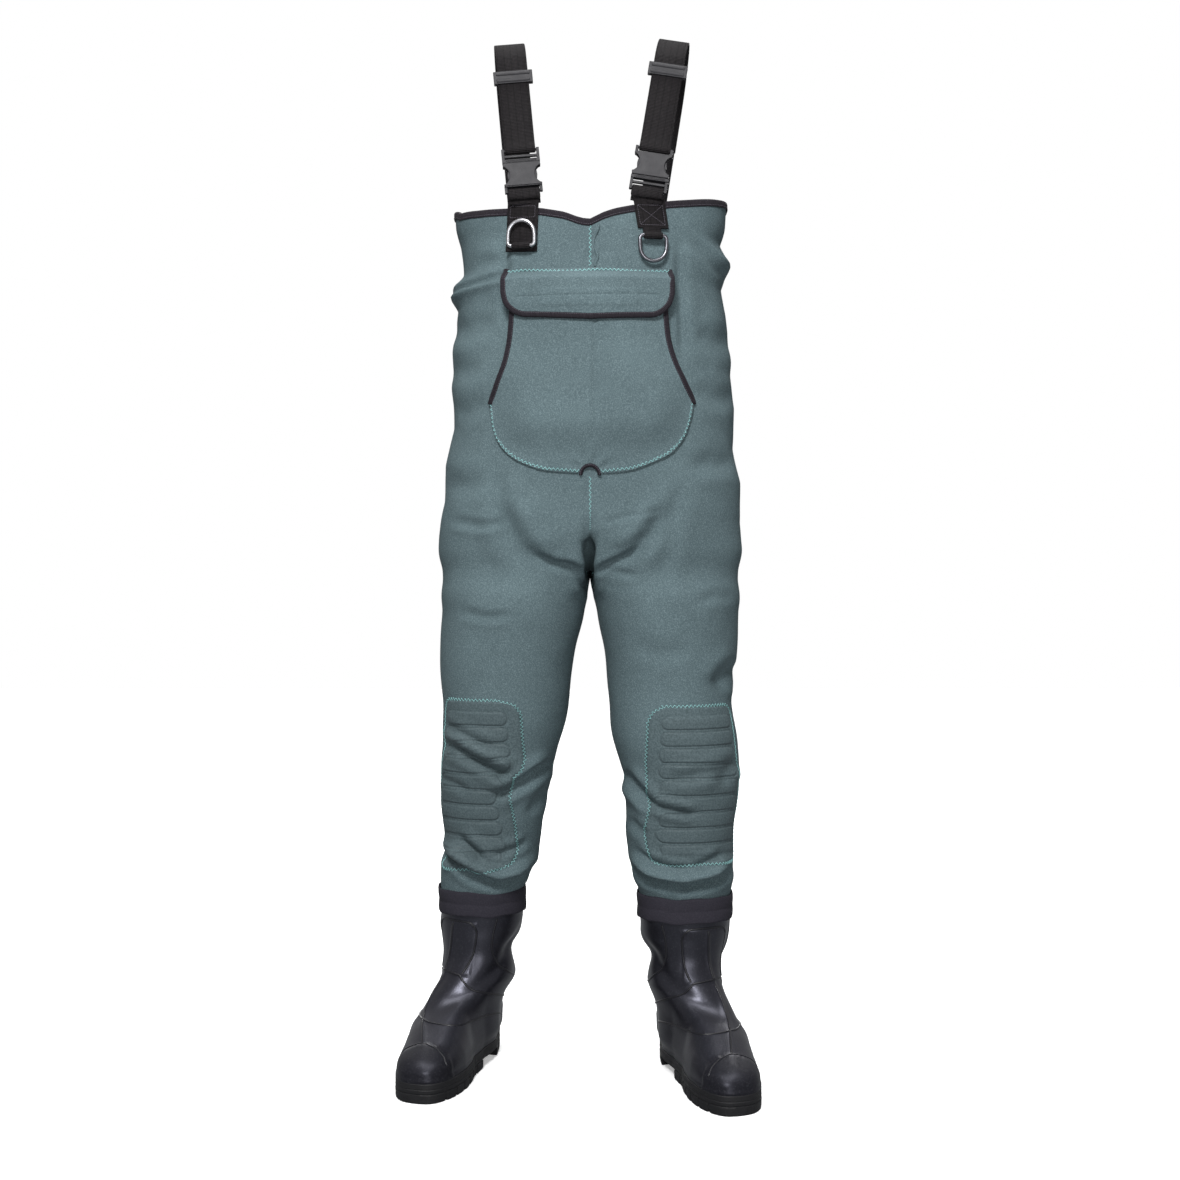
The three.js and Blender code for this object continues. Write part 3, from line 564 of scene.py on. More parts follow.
def torso_grid(sign, half):
    """A half of the torso, rows going up, with its top row along the rim."""
    rows = int((RIM_Z - JOIN_Z) / STEP)
    top = torso_row(sign, 1280)
    middle = (top[:, 1].max() + top[:, 1].min()) / 2
    rim = np.where(top[:, 1] < middle, line(RIM_FRONT, top[:, 0]), line(RIM_BACK, top[:, 0]))
    grid = np.zeros((rows + 1, half, 3))
    for i, row in enumerate(grid):
        row[:, 2] = JOIN_Z + (rim - JOIN_Z) * i / rows
        levels = np.linspace(row[:, 2].min(), row[:, 2].max() + 1e-6, 3)
        made = np.stack([torso_row(sign, z) for z in levels])
        for k in (0, 1):
            row[:, k] = [np.interp(row[j, 2], levels, made[:, j, k]) for j in range(half)]
    grid[:, [0, -1], 0] = 0
    return grid


def leg_grid(sign, first, half):
    """A leg, rows going down, blended with the torso's lowest row and the crotch's curves at its start."""
    crotch = COLUMNS["crotch"]
    ring = 2 * crotch + half - 1
    levels = np.concatenate([np.arange(JOIN_Z, LEG_END, -STEP), [LEG_END]])
    y_in, up = line(INSEAM[sign], 790), np.arange(crotch) / crotch
    rise = CROTCH_Z + (JOIN_Z - CROTCH_Z) * up**2.6
    ends = first[0, 1], first[-1, 1]
    curves = [np.stack([np.zeros(crotch), y_in + (y - y_in) * up, rise], 1) for y in ends]
    places = [(k, curves[0][k]) for k in range(crotch)]
    places += [(ring - k, curves[1][k]) for k in range(1, crotch)]
    grid = np.zeros((len(levels), ring, 3))
    for row, z in zip(grid, levels):
        w = float(smooth(JOIN_Z, 700, z))
        row[:, 2] = z
        row[:, :2] = leg_row(sign, z)
        outside = row[crotch : crotch + half]
        outside[:, :2] = torso_row(sign, z) * (1 - w) + outside[:, :2] * w
        for j, low in places:
            row[j, 2] = z - (JOIN_Z - low[2]) * (1 - w)
            row[j, :2] = low[:2] * (1 - w) + row[j, :2] * w
    grid[0, crotch : crotch + half] = first
    return grid


def build_grids():
    """Grids of points: the torso's two halves and the two legs."""
    half = sum(COLUMNS[k] for k in ("front", "side", "back")) + 1
    grids = {("torso", sign): torso_grid(sign, half) for sign in (-1, 1)}
    grids["torso", 1][:, [0, -1]] = grids["torso", -1][:, [0, -1]]
    for sign in (-1, 1):
        grids["leg", sign] = leg_grid(sign, grids["torso", sign][0], half)
    return grids


def merge(grids):
    """One list of points for all grids, and each grid as numbers in that list."""
    points, seen, numbers = [], {}, {}
    for key, grid in grids.items():
        index = np.zeros(grid.shape[:2], int)
        for place in np.ndindex(index.shape):
            mark = tuple(np.round(grid[place], 2) + 0.0)
            if mark not in seen:
                seen[mark] = len(points)
                points.append(grid[place])
            index[place] = seen[mark]
        numbers[key] = index
    return np.array(points), numbers


POINTS, INDEX = merge(build_grids())


def panel_of(kind, sign, j, z):
    """Name of the panel that a cell of a grid belongs to."""
    word = "right" if sign < 0 else "left"
    if kind == "leg":
        j -= COLUMNS["crotch"]
    if j < COLUMNS["front"]:
        return f"front_panel_{word}"
    if j < COLUMNS["front"] + COLUMNS["side"]:
        return f"side_panel_{word}"
    return f"calf_panel_{word}" if z < KNEE_Z else f"back_panel_{word}"


CELLS = {}  # panel name -> faces as point numbers
_faces = []
for (kind, sign), index in INDEX.items():
    rows, cols = index.shape
    for i in range(rows - 1):
        for j in range(cols - 1 if kind == "torso" else cols):
            k = (j + 1) % cols
            face = [index[i, j], index[i, k], index[i + 1, k], index[i + 1, j]]
            if (kind == "torso") != (sign > 0):
                face = face[::-1]
            if len(set(face)) < 3:
                continue
            z = POINTS[face, 2].mean()
            face = tuple(dict.fromkeys(face))
            CELLS.setdefault(panel_of(kind, sign, j, z), []).append(face)
            _faces.append(face)
_edges = np.array(sorted({tuple(sorted((f[k], f[(k + 1) % len(f)]))) for f in _faces for k in range(len(f))}))


def relax(points, weight, rounds):
    """Evens out the surface where weight is over 0."""
    count = np.bincount(_edges.ravel(), minlength=len(points)).astype(float)
    for _ in range(rounds):
        total = np.zeros_like(points)
        np.add.at(total, _edges[:, 0], points[_edges[:, 1]])
        np.add.at(total, _edges[:, 1], points[_edges[:, 0]])
        move = total / count[:, None] - points
        points = points + move * weight[:, None] * 0.5
    return points


def normals(points):
    """Each point's normal, from the faces round it."""
    total = np.zeros_like(points)
    for f in (np.array([f[:3] for f in _faces]), np.array([(f[0], f[2], f[-1]) for f in _faces])):
        n = np.cross(points[f[:, 1]] - points[f[:, 0]], points[f[:, 2]] - points[f[:, 0]])
        for k in range(3):
            np.add.at(total, f[:, k], n)
    return unit(total)


_near = bump(POINTS[:, 2] - 765, 42)
POINTS = relax(POINTS, np.clip(_near * 1.4, 0, 1), 30)
NORMALS = normals(POINTS)
if (NORMALS[:, 1] * POINTS[:, 1]).sum() < 0:
    _faces = [f[::-1] for f in _faces]
    CELLS = {name: [f[::-1] for f in faces] for name, faces in CELLS.items()}
    NORMALS = -NORMALS

# ------------------------------------------------------------------ folds
# Each fold is a line of (x, z) points on the front or back, with a width, a depth and how far its sides swell.


def to_line(points, path):
    """Distance of points from a path, signed by side, and how far along it they are, 0 to 1."""
    path = np.asarray(path, float)
    step = np.linalg.norm(np.diff(path, axis=0), axis=1)
    start = np.concatenate([[0], np.cumsum(step)])
    best = np.full(len(points), 1e9)
    side, where = np.zeros(len(points)), np.zeros(len(points))
    for a, b, length, s in zip(path, path[1:], step, start):
        d = (b - a) / length
        rel = points - a
        t = np.clip(rel @ d, 0, length)
        off = rel - t[:, None] * d
        dist = np.linalg.norm(off, axis=1)
        better = dist < best
        best = np.where(better, dist, best)
        side = np.where(better, np.sign(rel[:, 0] * d[1] - rel[:, 1] * d[0]) * dist, side)
        where = np.where(better, (s + t) / start[-1], where)
    return best, side, where


def fold(points, path, width, depth, swell, lean, ends=0.25):
    """A crease along a path, with a rounded hill on each side. lean makes one hill higher than the other."""
    dist, side, where = to_line(points, path)
    core = -bump(side, width) * (dist < width * 6)
    hill = sum(np.exp(-(((side - k * 1.9 * width) / (1.25 * width)) ** 2)) * (1 + k * lean) for k in (1, -1))
    fade = smooth(0, ends, where) * smooth(1, 1 - ends, where) * np.exp(-((dist / (width * 3.2)) ** 4))
    return depth * (core + swell * hill) * fade


FRONT_FOLDS = [
    # crotch
    ([(-124, 850), (-112, 806), (-96, 776), (-66, 760), (-40, 758)], 15, 9, 0.6, -0.5),
    ([(-84, 770), (-52, 757), (-24, 756), (-4, 744)], 6, 9, 0.6, -0.4),
    ([(28, 762), (60, 772), (90, 800), (110, 846)], 13, 9, 0.6, -0.5),
    ([(4, 746), (24, 758), (50, 764), (76, 780)], 5, 7, 0.6, -0.4),
    ([(0, 900), (-1, 850), (0, 800), (-1, 770)], 4.5, 6, 0.5, 0.0),
    ([(0, 836), (-1, 800), (-1, 770), (-1, 724)], 5.5, 14, 0.4, 0.0),
    ([(-1, 796), (-1, 770), (-1, 740), (-1, 706)], 10, 12, 0.4, 0.0),
    ([(10, 812), (50, 824), (110, 836)], 4, 2.2, 0.6, 0.5),
    ([(-40, 756), (-22, 742), (-8, 720)], 7, 6, 0.5, 0.0),
    ([(12, 760), (30, 750), (52, 742), (74, 742)], 5, 4.5, 0.5, 0.3),
    ([(-205, 824), (-160, 812), (-120, 816)], 6, 4.5, 0.6, 0.2),
    ([(-128, 900), (-132, 850), (-124, 800), (-104, 750)], 12, 4.5, 0.5, 0.0),
    ([(128, 880), (122, 830), (112, 780), (104, 730)], 12, 4.5, 0.5, 0.0),
    ([(-190, 690), (-150, 680), (-110, 684)], 6, 4, 0.6, 0.0),
    ([(150, 700), (180, 712), (215, 706)], 8, 3, 0.4, 0.0),
    ([(60, 640), (100, 628), (150, 634)], 12, 2.5, 0.4, 0.0),
    # bib
    ([(8, 1240), (13, 1224), (6, 1208), (14, 1192), (10, 1180)], 3.0, 3.4, 0.8, 0.4),
    ([(-215, 1158), (-170, 1163), (-140, 1168), (-116, 1172)], 4.5, 8, 0.8, 0.4),
    ([(-170, 1188), (-150, 1196), (-122, 1190)], 9, 4, 0.5, 0.0),
    ([(-126, 1230), (-122, 1190), (-120, 1140), (-118, 1080)], 7, 6, 0.6, 0.0),
    ([(126, 1236), (130, 1180), (132, 1110), (134, 1040)], 7, 5.5, 0.6, 0.0),
    ([(210, 1180), (186, 1192), (160, 1212), (140, 1230)], 8, 7, 0.6, 0.0),
    ([(-214, 1112), (-180, 1098), (-140, 1112)], 14, 5, 0.5, 0.0),
    ([(-200, 975), (-170, 984), (-150, 996)], 13, 5, 0.5, 0.0),
    ([(212, 1000), (176, 1000), (150, 1016)], 14, 5, 0.5, 0.0),
    ([(-210, 1050), (-180, 1040), (-156, 1046)], 14, 4, 0.5, 0.0),
    ([(212, 1090), (180, 1080), (150, 1092)], 16, 5, 0.5, 0.0),
    ([(212, 900), (175, 905), (140, 894)], 14, 5, 0.5, 0.0),
    ([(-214, 880), (-180, 870), (-146, 880)], 14, 4, 0.5, 0.0),
    # right knee and cuff, on the viewer's left
    ([(-222, 494), (-190, 484), (-158, 466), (-132, 452), (-104, 447)], 8.5, 16, 0.5, -0.4),
    ([(-222, 524), (-186, 508), (-150, 492), (-130, 484)], 7, 5, 0.6, 0.0),
    ([(-50, 462), (-76, 452), (-100, 436), (-122, 424), (-150, 412)], 8.5, 14, 0.55, 0.3),
    ([(-226, 440), (-200, 434), (-176, 424)], 7, 5, 0.5, 0.0),
    ([(-60, 420), (-80, 404), (-92, 380)], 8, 4, 0.5, 0.0),
    ([(-200, 352), (-176, 332), (-158, 312)], 8, 10, 0.7, 0.0),
    ([(-238, 322), (-200, 310), (-172, 290), (-140, 280), (-104, 287), (-72, 298)], 8, 17, 0.75, -0.6),
    ([(-90, 342), (-120, 330), (-150, 322)], 6, 6, 0.6, 0.0),
    # left knee and cuff
    ([(46, 452), (66, 430), (86, 410), (100, 398)], 8, 12, 0.6, 0.2),
    ([(90, 408), (112, 402), (136, 398), (156, 392)], 6, 10, 0.7, 0.0),
    ([(56, 380), (72, 366), (88, 360)], 7, 5, 0.5, 0.0),
    ([(222, 612), (198, 596), (180, 574)], 13, 9, 0.5, 0.0),
    ([(216, 470), (192, 450), (196, 430)], 12, 6, 0.5, 0.0),
    ([(110, 446), (150, 452), (196, 462)], 9, 5, 0.5, 0.0),
    ([(50, 310), (90, 292), (140, 283), (184, 291), (226, 308)], 8, 16, 0.75, -0.6),
    ([(196, 336), (176, 322), (150, 314)], 6, 6, 0.6, 0.0),
    ([(60, 338), (84, 322), (120, 312), (150, 310)], 6, 7, 0.6, 0.0),
]
BACK_FOLDS = [
    ([(-150, 770), (-100, 742), (-50, 728), (-14, 722)], 9, 8, 0.5, 0.0),
    ([(150, 770), (100, 742), (50, 728), (14, 722)], 9, 8, 0.5, 0.0),
    ([(-170, 730), (-110, 712), (-60, 706)], 10, 6, 0.5, 0.0),
    ([(170, 726), (110, 708), (60, 700)], 10, 6, 0.5, 0.0),
    ([(-200, 480), (-150, 466), (-96, 474), (-66, 484)], 9, 9, 0.5, 0.0),
    ([(60, 470), (110, 458), (160, 464), (206, 476)], 9, 9, 0.5, 0.0),
    ([(-206, 440), (-150, 430), (-90, 440)], 9, 7, 0.5, 0.0),
    ([(66, 430), (120, 420), (200, 436)], 9, 7, 0.5, 0.0),
    ([(-226, 330), (-170, 318), (-92, 322)], 7, 8, 0.7, -0.4),
    ([(60, 322), (130, 308), (212, 320)], 7, 8, 0.7, -0.4),
    ([(-180, 1010), (-90, 990), (0, 1000), (90, 990), (180, 1010)], 16, 5, 0.5, 0.0),
    ([(-130, 1200), (-80, 1188), (0, 1184), (80, 1190), (130, 1204)], 14, 4, 0.5, 0.0),
    ([(-60, 900), (-20, 880), (20, 880), (60, 900)], 14, 4, 0.5, 0.0),
]


def swell_noise(points):
    """Soft unevenness of the cloth, flatter than it is tall."""
    amount = np.zeros(len(points))
    for k, p in enumerate(points):
        a = noise.noise(Vector((p[0] / 150, p[1] / 150, p[2] / 110)))
        b = noise.noise(Vector((p[0] / 62 + 7, p[1] / 62, p[2] / 44)))
        amount[k] = 3.2 * a + 1.3 * b
    return amount


# how far the suit's sides stand out at each height
SIDE_SWELL = {
    -1: [[690, 0], [742, 6], [800, 4], [850, -2], [905, 3], [960, -5], [1020, 2], [1073, 1], [1108, -3],
         [1136, -5], [1158, 9], [1170, 3], [1186, -10], [1230, -6], [1268, 0]],
    1: [[690, 0], [742, 6], [780, 5], [820, 0], [880, 4], [930, -4], [990, 3], [1040, 0], [1073, 3],
        [1130, -2], [1168, -8], [1188, 0], [1203, 6], [1214, 1], [1232, -8], [1268, 0]],
}


def folded(points, normal):
    """The points moved by every fold, less near the rim and not at all at the boots."""
    move = swell_noise(points)
    for sign, rows in SIDE_SWELL.items():
        move += line(rows, points[:, 2]) * np.clip(sign * normal[:, 0], 0, 1) ** 1.5
    front = smooth(0.25, -0.25, normal[:, 1])
    for folds, share in ((FRONT_FOLDS, front), (BACK_FOLDS, 1 - front)):
        for crease in folds:
            move += fold(points[:, [0, 2]], *crease) * share
    steady = smooth(1262, 1232, points[:, 2]) * 0.85 + 0.15
    steady *= smooth(LEG_END, 266, points[:, 2])
    return points + normal * (move * steady)[:, None]


POINTS = folded(POINTS, NORMALS)
POINTS = relax(POINTS, 0.5 * smooth(252, 262, POINTS[:, 2]) * smooth(1262, 1250, POINTS[:, 2]), 3)
NORMALS = normals(POINTS)


def grooved(points, normal):
    """The points pulled in a little along each seam, so that the panels' edges show."""
    depth = np.zeros(len(points))
    for (kind, _), index in INDEX.items():
        torso_part = kind == "torso"
        side_back = COLUMNS["front"] + COLUMNS["side"] + (0 if torso_part else COLUMNS["crotch"])
        if torso_part:
            depth[index[:, COLUMNS["front"]]] = 0.15
        depth[index[:, side_back]] = 0.3
        depth[index[:, 0]] = 1.3
        if torso_part:
            depth[index[:, -1]] = 1.3
    return points - normal * depth[:, None]


POINTS = grooved(POINTS, NORMALS)
NORMALS = normals(POINTS)


def suit_panels():
    """Each panel as a thick sheet that is shaded together with its neighbours."""
    for name, faces in CELLS.items():
        used = np.unique(np.concatenate(faces))
        renumber = {int(v): k for k, v in enumerate(used)}
        outside = [tuple(renumber[int(v)] for v in f) for f in faces]
        n = len(used)
        inside = [tuple(v + n for v in f[::-1]) for f in outside]
        edges = {(f[k - 1], f[k]) for f in outside for k in range(len(f))}
        rim = [(b, a, a + n, b + n) for a, b in edges if (b, a) not in edges]
        points = np.concatenate([POINTS[used], POINTS[used] - NORMALS[used] * NEOPRENE])
        obj = mesh_object("suit_" + name, points, outside + inside + rim, points[:, [0, 2]])
        finish(obj, "suit", [name])
        for look in ("neoprene", "lining"):
            obj.data.materials.append(MAT[look])
        sheets = len(outside)
        for polygon in obj.data.polygons[sheets : 2 * sheets]:
            polygon.material_index = 1
        both = np.concatenate([NORMALS[used], -NORMALS[used]])
        at = np.zeros(len(obj.data.loops), int)
        obj.data.loops.foreach_get("vertex_index", at)
        shared = both[at]
        start = obj.data.polygons[2 * sheets].loop_start
        shared[start:] = 0
        obj.data.normals_split_custom_set(shared.tolist())


suit_panels()


class Surface:
    """The finished surface of the torso or a leg, looked up by where it is seen from the front, or by turn."""

    def __init__(self, key):
        if key == "torso":
            left, right = INDEX["torso", 1], INDEX["torso", -1]
            self.index = np.concatenate([right[:, ::-1][:, :-1], left[:, :-1]], 1)
        else:
            self.index = INDEX["leg", key]
        self.points = POINTS[self.index]
        self.normals = NORMALS[self.index]
        z = self.points[..., 2].mean(1)
        order = np.argsort(z)
        self.z, self.points, self.normals = z[order], self.points[order], self.normals[order]

    def _level(self, z):
        """The row below height z, and how far z is towards the next."""
        k = int(np.clip(np.searchsorted(self.z, z) - 1, 0, len(self.z) - 2))
        return k, float(np.clip((z - self.z[k]) / (self.z[k + 1] - self.z[k]), 0, 1))

    def _row(self, i, x, front):
        p, n = self.points[i], self.normals[i]
        middle = (p[:, 1].min() + p[:, 1].max()) / 2
        keep = (p[:, 1] < middle) if front else (p[:, 1] >= middle)
        order = np.argsort(p[keep][:, 0])
        ps, ns = p[keep][order], n[keep][order]
        return [pick(v, x, ps[:, 0]) for v in (ps, ns)]

    def at(self, x, z, front=True):
        """Point and normal of the surface seen at x and height z."""
        k, t = self._level(z)
        (p0, n0), (p1, n1) = self._row(k, x, front), self._row(k + 1, x, front)
        p, n = p0 * (1 - t) + p1 * t, unit(n0 * (1 - t) + n1 * t)
        p[..., 2] = z
        return p, n

    def arc(self, z):
        """The ring at height z: points, normals and the way round from its front, over 0 towards +x."""
        k, t = self._level(z)
        p = self.points[k] * (1 - t) + self.points[k + 1] * t
        n = unit(self.normals[k] * (1 - t) + self.normals[k + 1] * t)
        p[:, 2] = z
        middle = (p[:, 0].min() + p[:, 0].max()) / 2
        depth = np.where(p[:, 1] < p[:, 1].mean(), np.abs(p[:, 0] - middle), 1e9)
        first = int(np.argmin(depth))
        p, n = np.roll(p, -first, 0), np.roll(n, -first, 0)
        if p[1, 0] < p[0, 0]:
            p, n = np.roll(p[::-1], 1, 0), np.roll(n[::-1], 1, 0)
        half = len(p) // 2
        p, n = np.roll(p, half, 0), np.roll(n, half, 0)
        s = distance(p)
        s = s - np.interp(middle, [p[half - 1, 0], p[half, 0], p[half + 1, 0]], s[half - 1 : half + 2])
        return p, n, s

    def arc_at(self, z, x):
        """The way round to x on the front of the ring at height z."""
        p, _, s = self.arc(z)
        keep = np.abs(s) < 150
        p, s = p[keep], s[keep]
        lo, hi = int(np.argmin(p[:, 0])), int(np.argmax(p[:, 0]))
        return float(np.interp(x, p[lo : hi + 1, 0], s[lo : hi + 1]))


torso = Surface("torso")
legs = {sign: Surface(sign) for sign in (-1, 1)}

# ------------------------------------------------------------------ tapes, seams and stitches on the suit


def seam_line(key, column, low, high):
    """Points, directions across and normals down one column of a grid."""
    ids = INDEX[key][:, column]
    p, n = POINTS[ids], NORMALS[ids]
    keep = (p[:, 2] > low) & (p[:, 2] < high)
    p, n = p[keep], n[keep]
    return p, unit(np.cross(heading(p), n)), n


def seam_stitches():
    c = COLUMNS
    side_back = c["front"] + c["side"]
    shown = {"material": MAT["thread"], "width": 3.2, "radius": 0.55, "lift": 0.35}
    hidden = {"material": MAT["seam"], "width": 2.4, "radius": 0.22, "lift": 0.1}
    lines = {
        "front_seam_top": ("torso", 1, 0, 1180, 1243, shown),
        "front_seam_low": ("torso", 1, 0, JOIN_Z, 884, shown),
        "back_seam": ("torso", 1, side_back + c["back"], JOIN_Z, 1282, shown),
    }
    for word, sign in SIDES.items():
        lines[f"back_side_seam_{word}"] = ("torso", sign, side_back, JOIN_Z, 1262, hidden)
        lines[f"back_leg_seam_{word}"] = ("leg", sign, side_back + c["crotch"], 266, JOIN_Z + 1, hidden)
        lines[f"inseam_{word}"] = ("leg", sign, 0, 266, CROTCH_Z, shown)
    for name, (kind, sign, column, low, high, stitch) in lines.items():
        path, across, out = seam_line((kind, sign), column, low, high)
        thread("stitch_" + name, path, across, out, "suit", "neoprene", pitch=3.2, **stitch)


def front_pleat():
    """A thin wavy fold of cloth beside the bib's seam."""
    z = np.linspace(1181, 1240, 60)
    x = 7 + 3.4 * np.sin((z - 1181) / 7.5) * smooth(1181, 1195, z) + (z - 1181) / 30
    p, n = (np.concatenate(v) for v in zip(*[torso.at(np.array([a]), b) for a, b in zip(x, z)]))
    profile = circle(12) * [1.9, 1.5]
    obj = sweep("front_pleat", p - n * 0.4, unit(np.cross(heading(p), n)), n, profile)
    finish(obj, "suit", (), MAT["neoprene"])


def rim_binding():
    ring = np.concatenate([INDEX["torso", -1][-1, ::-1][:-1], INDEX["torso", 1][-1, :-1]])
    p, n = POINTS[ring], unit(NORMALS[ring] * [1, 1, 0])
    up = np.tile([0.0, 0.0, 1.0], (len(p), 1))
    outside = [(0.4, -8.6), (1.2, -9), (1.7, -7.6), (1.8, -1.2), (1.2, 0.9), (-0.6, 1.9), (-2.3, 2.1)]
    inside = [(-4.0, 1.9), (-5.7, 0.9), (-6.4, -1.2), (-6.3, -7.6), (-5.8, -9), (-5.0, -8.6)]
    obj = sweep("rim_tape", p, n, up, outside + inside + [(-5.0, 0.1), (-2.3, 0.4), (0.4, 0.1)], closed=True)
    finish(obj, "suit", ["rim_binding"], MAT["binding"])
    edge = p + n * 1.75 - up * 6.4
    along = unit(np.roll(p, -1, 0) - p)
    edge, along, n = (np.vstack([v, v[:1]]) for v in (edge, along, n))
    thread("stitch_rim", edge, along, n, "suit", "binding", MAT["dark_thread"],
           pitch=3.2, radius=0.3, lift=0.1, dashes=True)


def boot_bands():
    # the tape's section: height, and how far it stands off the leg
    rows = [(226, 2.2), (226.6, 3.1), (229, 3.5), (236, 3.5), (243, 3.0), (244, 2.6), (245, 3.0), (252, 3.7),
            (259, 3.8), (262.4, 3.3), (263.2, 2.3)]
    t = turns(120)
    for word, sign in SIDES.items():
        x0, x1, y0, y1 = LEGS[sign][1][1:]
        grid = np.zeros((len(rows), len(t), 3))
        for i, (z, grow) in enumerate(rows):
            ring = np.stack(on_section((x0 - grow, x1 + grow, y0 - grow, y1 + grow), t, LEG_POWER), 1)
            out = unit(ring - [(x0 + x1) / 2, (y0 + y1) / 2])
            ripple = (0.5 + 0.5 * np.sin(3 * t + z / 9)) * 0.9
            grid[i, :, :2] = ring + out * ripple[:, None]
            grid[i, :, 2] = z + 0.8 * np.sin(5 * t + sign) + 0.6 * np.sin(9 * t + 2 * sign)
        uv = np.stack(np.broadcast_arrays(t[None, :] * 66, grid[..., 2]), -1).reshape(-1, 2)
        faces = grid_faces(len(rows), len(t), wrap=True)
        obj = mesh_object(f"boot_tape_{word}", grid.reshape(-1, 3), faces, uv)
        thicken(outward(obj), 2.0)
        finish(obj, "suit", [f"boot_band_{word}"], MAT["tape"])


# ------------------------------------------------------------------ knee pads


def border(rows, cols):
    """Places round the edge of a grid, once round."""
    ring = [(0, j) for j in range(cols)] + [(i, cols - 1) for i in range(1, rows)]
    return ring + [(rows - 1, j) for j in range(cols - 2, -1, -1)] + [(i, 0) for i in range(rows - 2, 0, -1)]


def slab(name, outer, inner, uvs):
    """A closed sheet between two grids of points."""
    rows, cols = outer.shape[:2]
    n = rows * cols
    faces = grid_faces(rows, cols) + grid_faces(rows, cols, start=n, flip=True)
    rim = border(rows, cols)
    for (i, j), (k, m) in zip(rim, rim[1:] + rim[:1]):
        a, b = i * cols + j, k * cols + m
        faces.append((a, a + n, b + n, b))
    points = np.concatenate([outer.reshape(-1, 3), inner.reshape(-1, 3)])
    return outward(mesh_object(name, points, faces, np.concatenate([uvs.reshape(-1, 2)] * 2)))


PADS = {
    # (height, x) of the inner edge, the way round from the leg's middle to the outer edge, and the lowest and
    # highest point
    -1: {
        "inner": [[297, -166], [304, -128], [311, -116], [328, -109], [368, -112], [412, -119], [444, -113],
                  [454, -101], [470, -96], [500, -99], [541, -101], [553, -110], [559, -134]],
        "wrap": 108, "z": (297, 560),
    },
    1: {
        "inner": [[316, 99], [323, 91], [342, 84], [368, 81], [404, 88], [426, 84], [470, 82], [529, 84],
                  [544, 92], [549, 104]],
        "wrap": 106, "z": (316, 552),
    },
}
RIBS = {"pitch": 24.0, "height": 19.0, "rise": 1.7, "inset": 21}


def rib_height(along, across_in, across_out, z0):
    """How far the pad stands out, and where it is darker: a print on fingers with round ends, side by side, and
    painted shade in the groove round each finger.
    """
    place = (along - z0) / RIBS["pitch"]
    middle = (np.floor(place) + 0.5) * RIBS["pitch"] + z0
    half = RIBS["height"] / 2
    dz = np.abs(along - middle)
    inset = RIBS["inset"]
    dx = np.maximum(inset + half - across_in, 0) + np.maximum(inset * 0.5 + half - across_out, 0)
    edge = half - np.hypot(dz, dx)
    groove = -0.9 * bump(edge + 0.8, 1.2)
    dome = 0.7 + 0.3 * np.clip(edge / half, 0, 1)
    step = smooth(-1.0, 1.4, edge)
    # painted shade: a dark line round each finger, in its groove, where shade falls; it weighs more than the
    # print on the finger
    outline = bump(edge + 0.4, 1.1)
    return step * RIBS["rise"] * dome + groove, np.clip(0.4 * step + 0.8 * outline, 0, 1)


def knee_pads():
    rows, cols = ((250, 100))
    round_corner = 20
    for word, sign in SIDES.items():
        pad, leg = PADS[sign], legs[sign]
        low, high = pad["z"]
        zs = np.linspace(low, high, rows)
        surface, normal = np.zeros((rows, cols, 3)), np.zeros((rows, cols, 3))
        inner_d, outer_d = np.zeros((rows, cols)), np.zeros((rows, cols))
        for i, z in enumerate(zs):
            p, n, s = leg.arc(z)
            inner = leg.arc_at(z, float(line(pad["inner"], z)))
            short = max(0, round_corner - min(z - low, high - z)) / round_corner
            edge = round_corner - round_corner * math.sqrt(max(0, 1 - short**2))
            outer = sign * (pad["wrap"] - edge)
            at = np.linspace(inner, outer, cols)
            surface[i], normal[i] = pick(p, at, s), unit(pick(n, at, s))
            inner_d[i], outer_d[i] = np.abs(at - inner), np.abs(at - outer)
        z_grid = np.broadcast_to(zs[:, None], (rows, cols))
        edge_d = np.minimum(np.minimum(inner_d, outer_d), np.minimum(z_grid - low, high - z_grid))
        ends = smooth(low + 12, low + 20, z_grid) * smooth(high - 12, high - 20, z_grid)
        rib, print_and_groove_shade = rib_height(z_grid, inner_d, outer_d, low + 8)
        thick = 0.5 + 1.9 * smooth(0, 4.5, edge_d) + rib * ends
        uv = np.stack([inner_d, z_grid], -1)
        obj = slab(f"knee_patch_{word}", surface + normal * thick[..., None], surface - normal * 0.6, uv)
        # the mark makes the print and the painted groove shade darker
        paint(obj, np.concatenate([(print_and_groove_shade * ends).ravel(), 0 * print_and_groove_shade.ravel()]))
        finish(obj, "suit", [f"knee_pad_{word}"], MAT["pad"])
        ring = border(rows, cols) + [(0, 0)]
        path = np.array([surface[at] + normal[at] * 1.1 for at in ring])
        out = np.array([normal[at] for at in ring])
        keep = apart(path, 0.05)
        path, out = path[keep], out[keep]
        across = unit(np.cross(heading(path), out))
        thread(f"stitch_knee_{word}", path, across, out, "suit", "knee_pad", MAT["thread"],
               width=4.0, pitch=3.0, radius=0.55, lift=0.4)


# ------------------------------------------------------------------ pocket and flap

POCKET_EDGE = {  # (height, x) up each side
    -1: [[885, -8], [887, -40], [890, -64], [896, -84], [902, -99], [910, -112], [919, -122], [935, -133],
         [954, -139], [985, -142], [1010, -132], [1040, -120], [1070, -113], [1106, -109.5], [1156, -109]],
    1: [[885, 12], [887, 38], [891, 60], [896, 75], [903, 92], [912, 111], [925, 125], [940, 135], [960, 142],
        [990, 146], [1014, 133.5], [1040, 120.5], [1070, 110.5], [1110, 105.5], [1156, 105]],
}
POCKET = {"low": 885, "high": 1156, "corner": 988, "wall": 4.0, "notch": 13}


def pocket_edge(side, z):
    return float(table(POCKET_EDGE[side], z)[0])


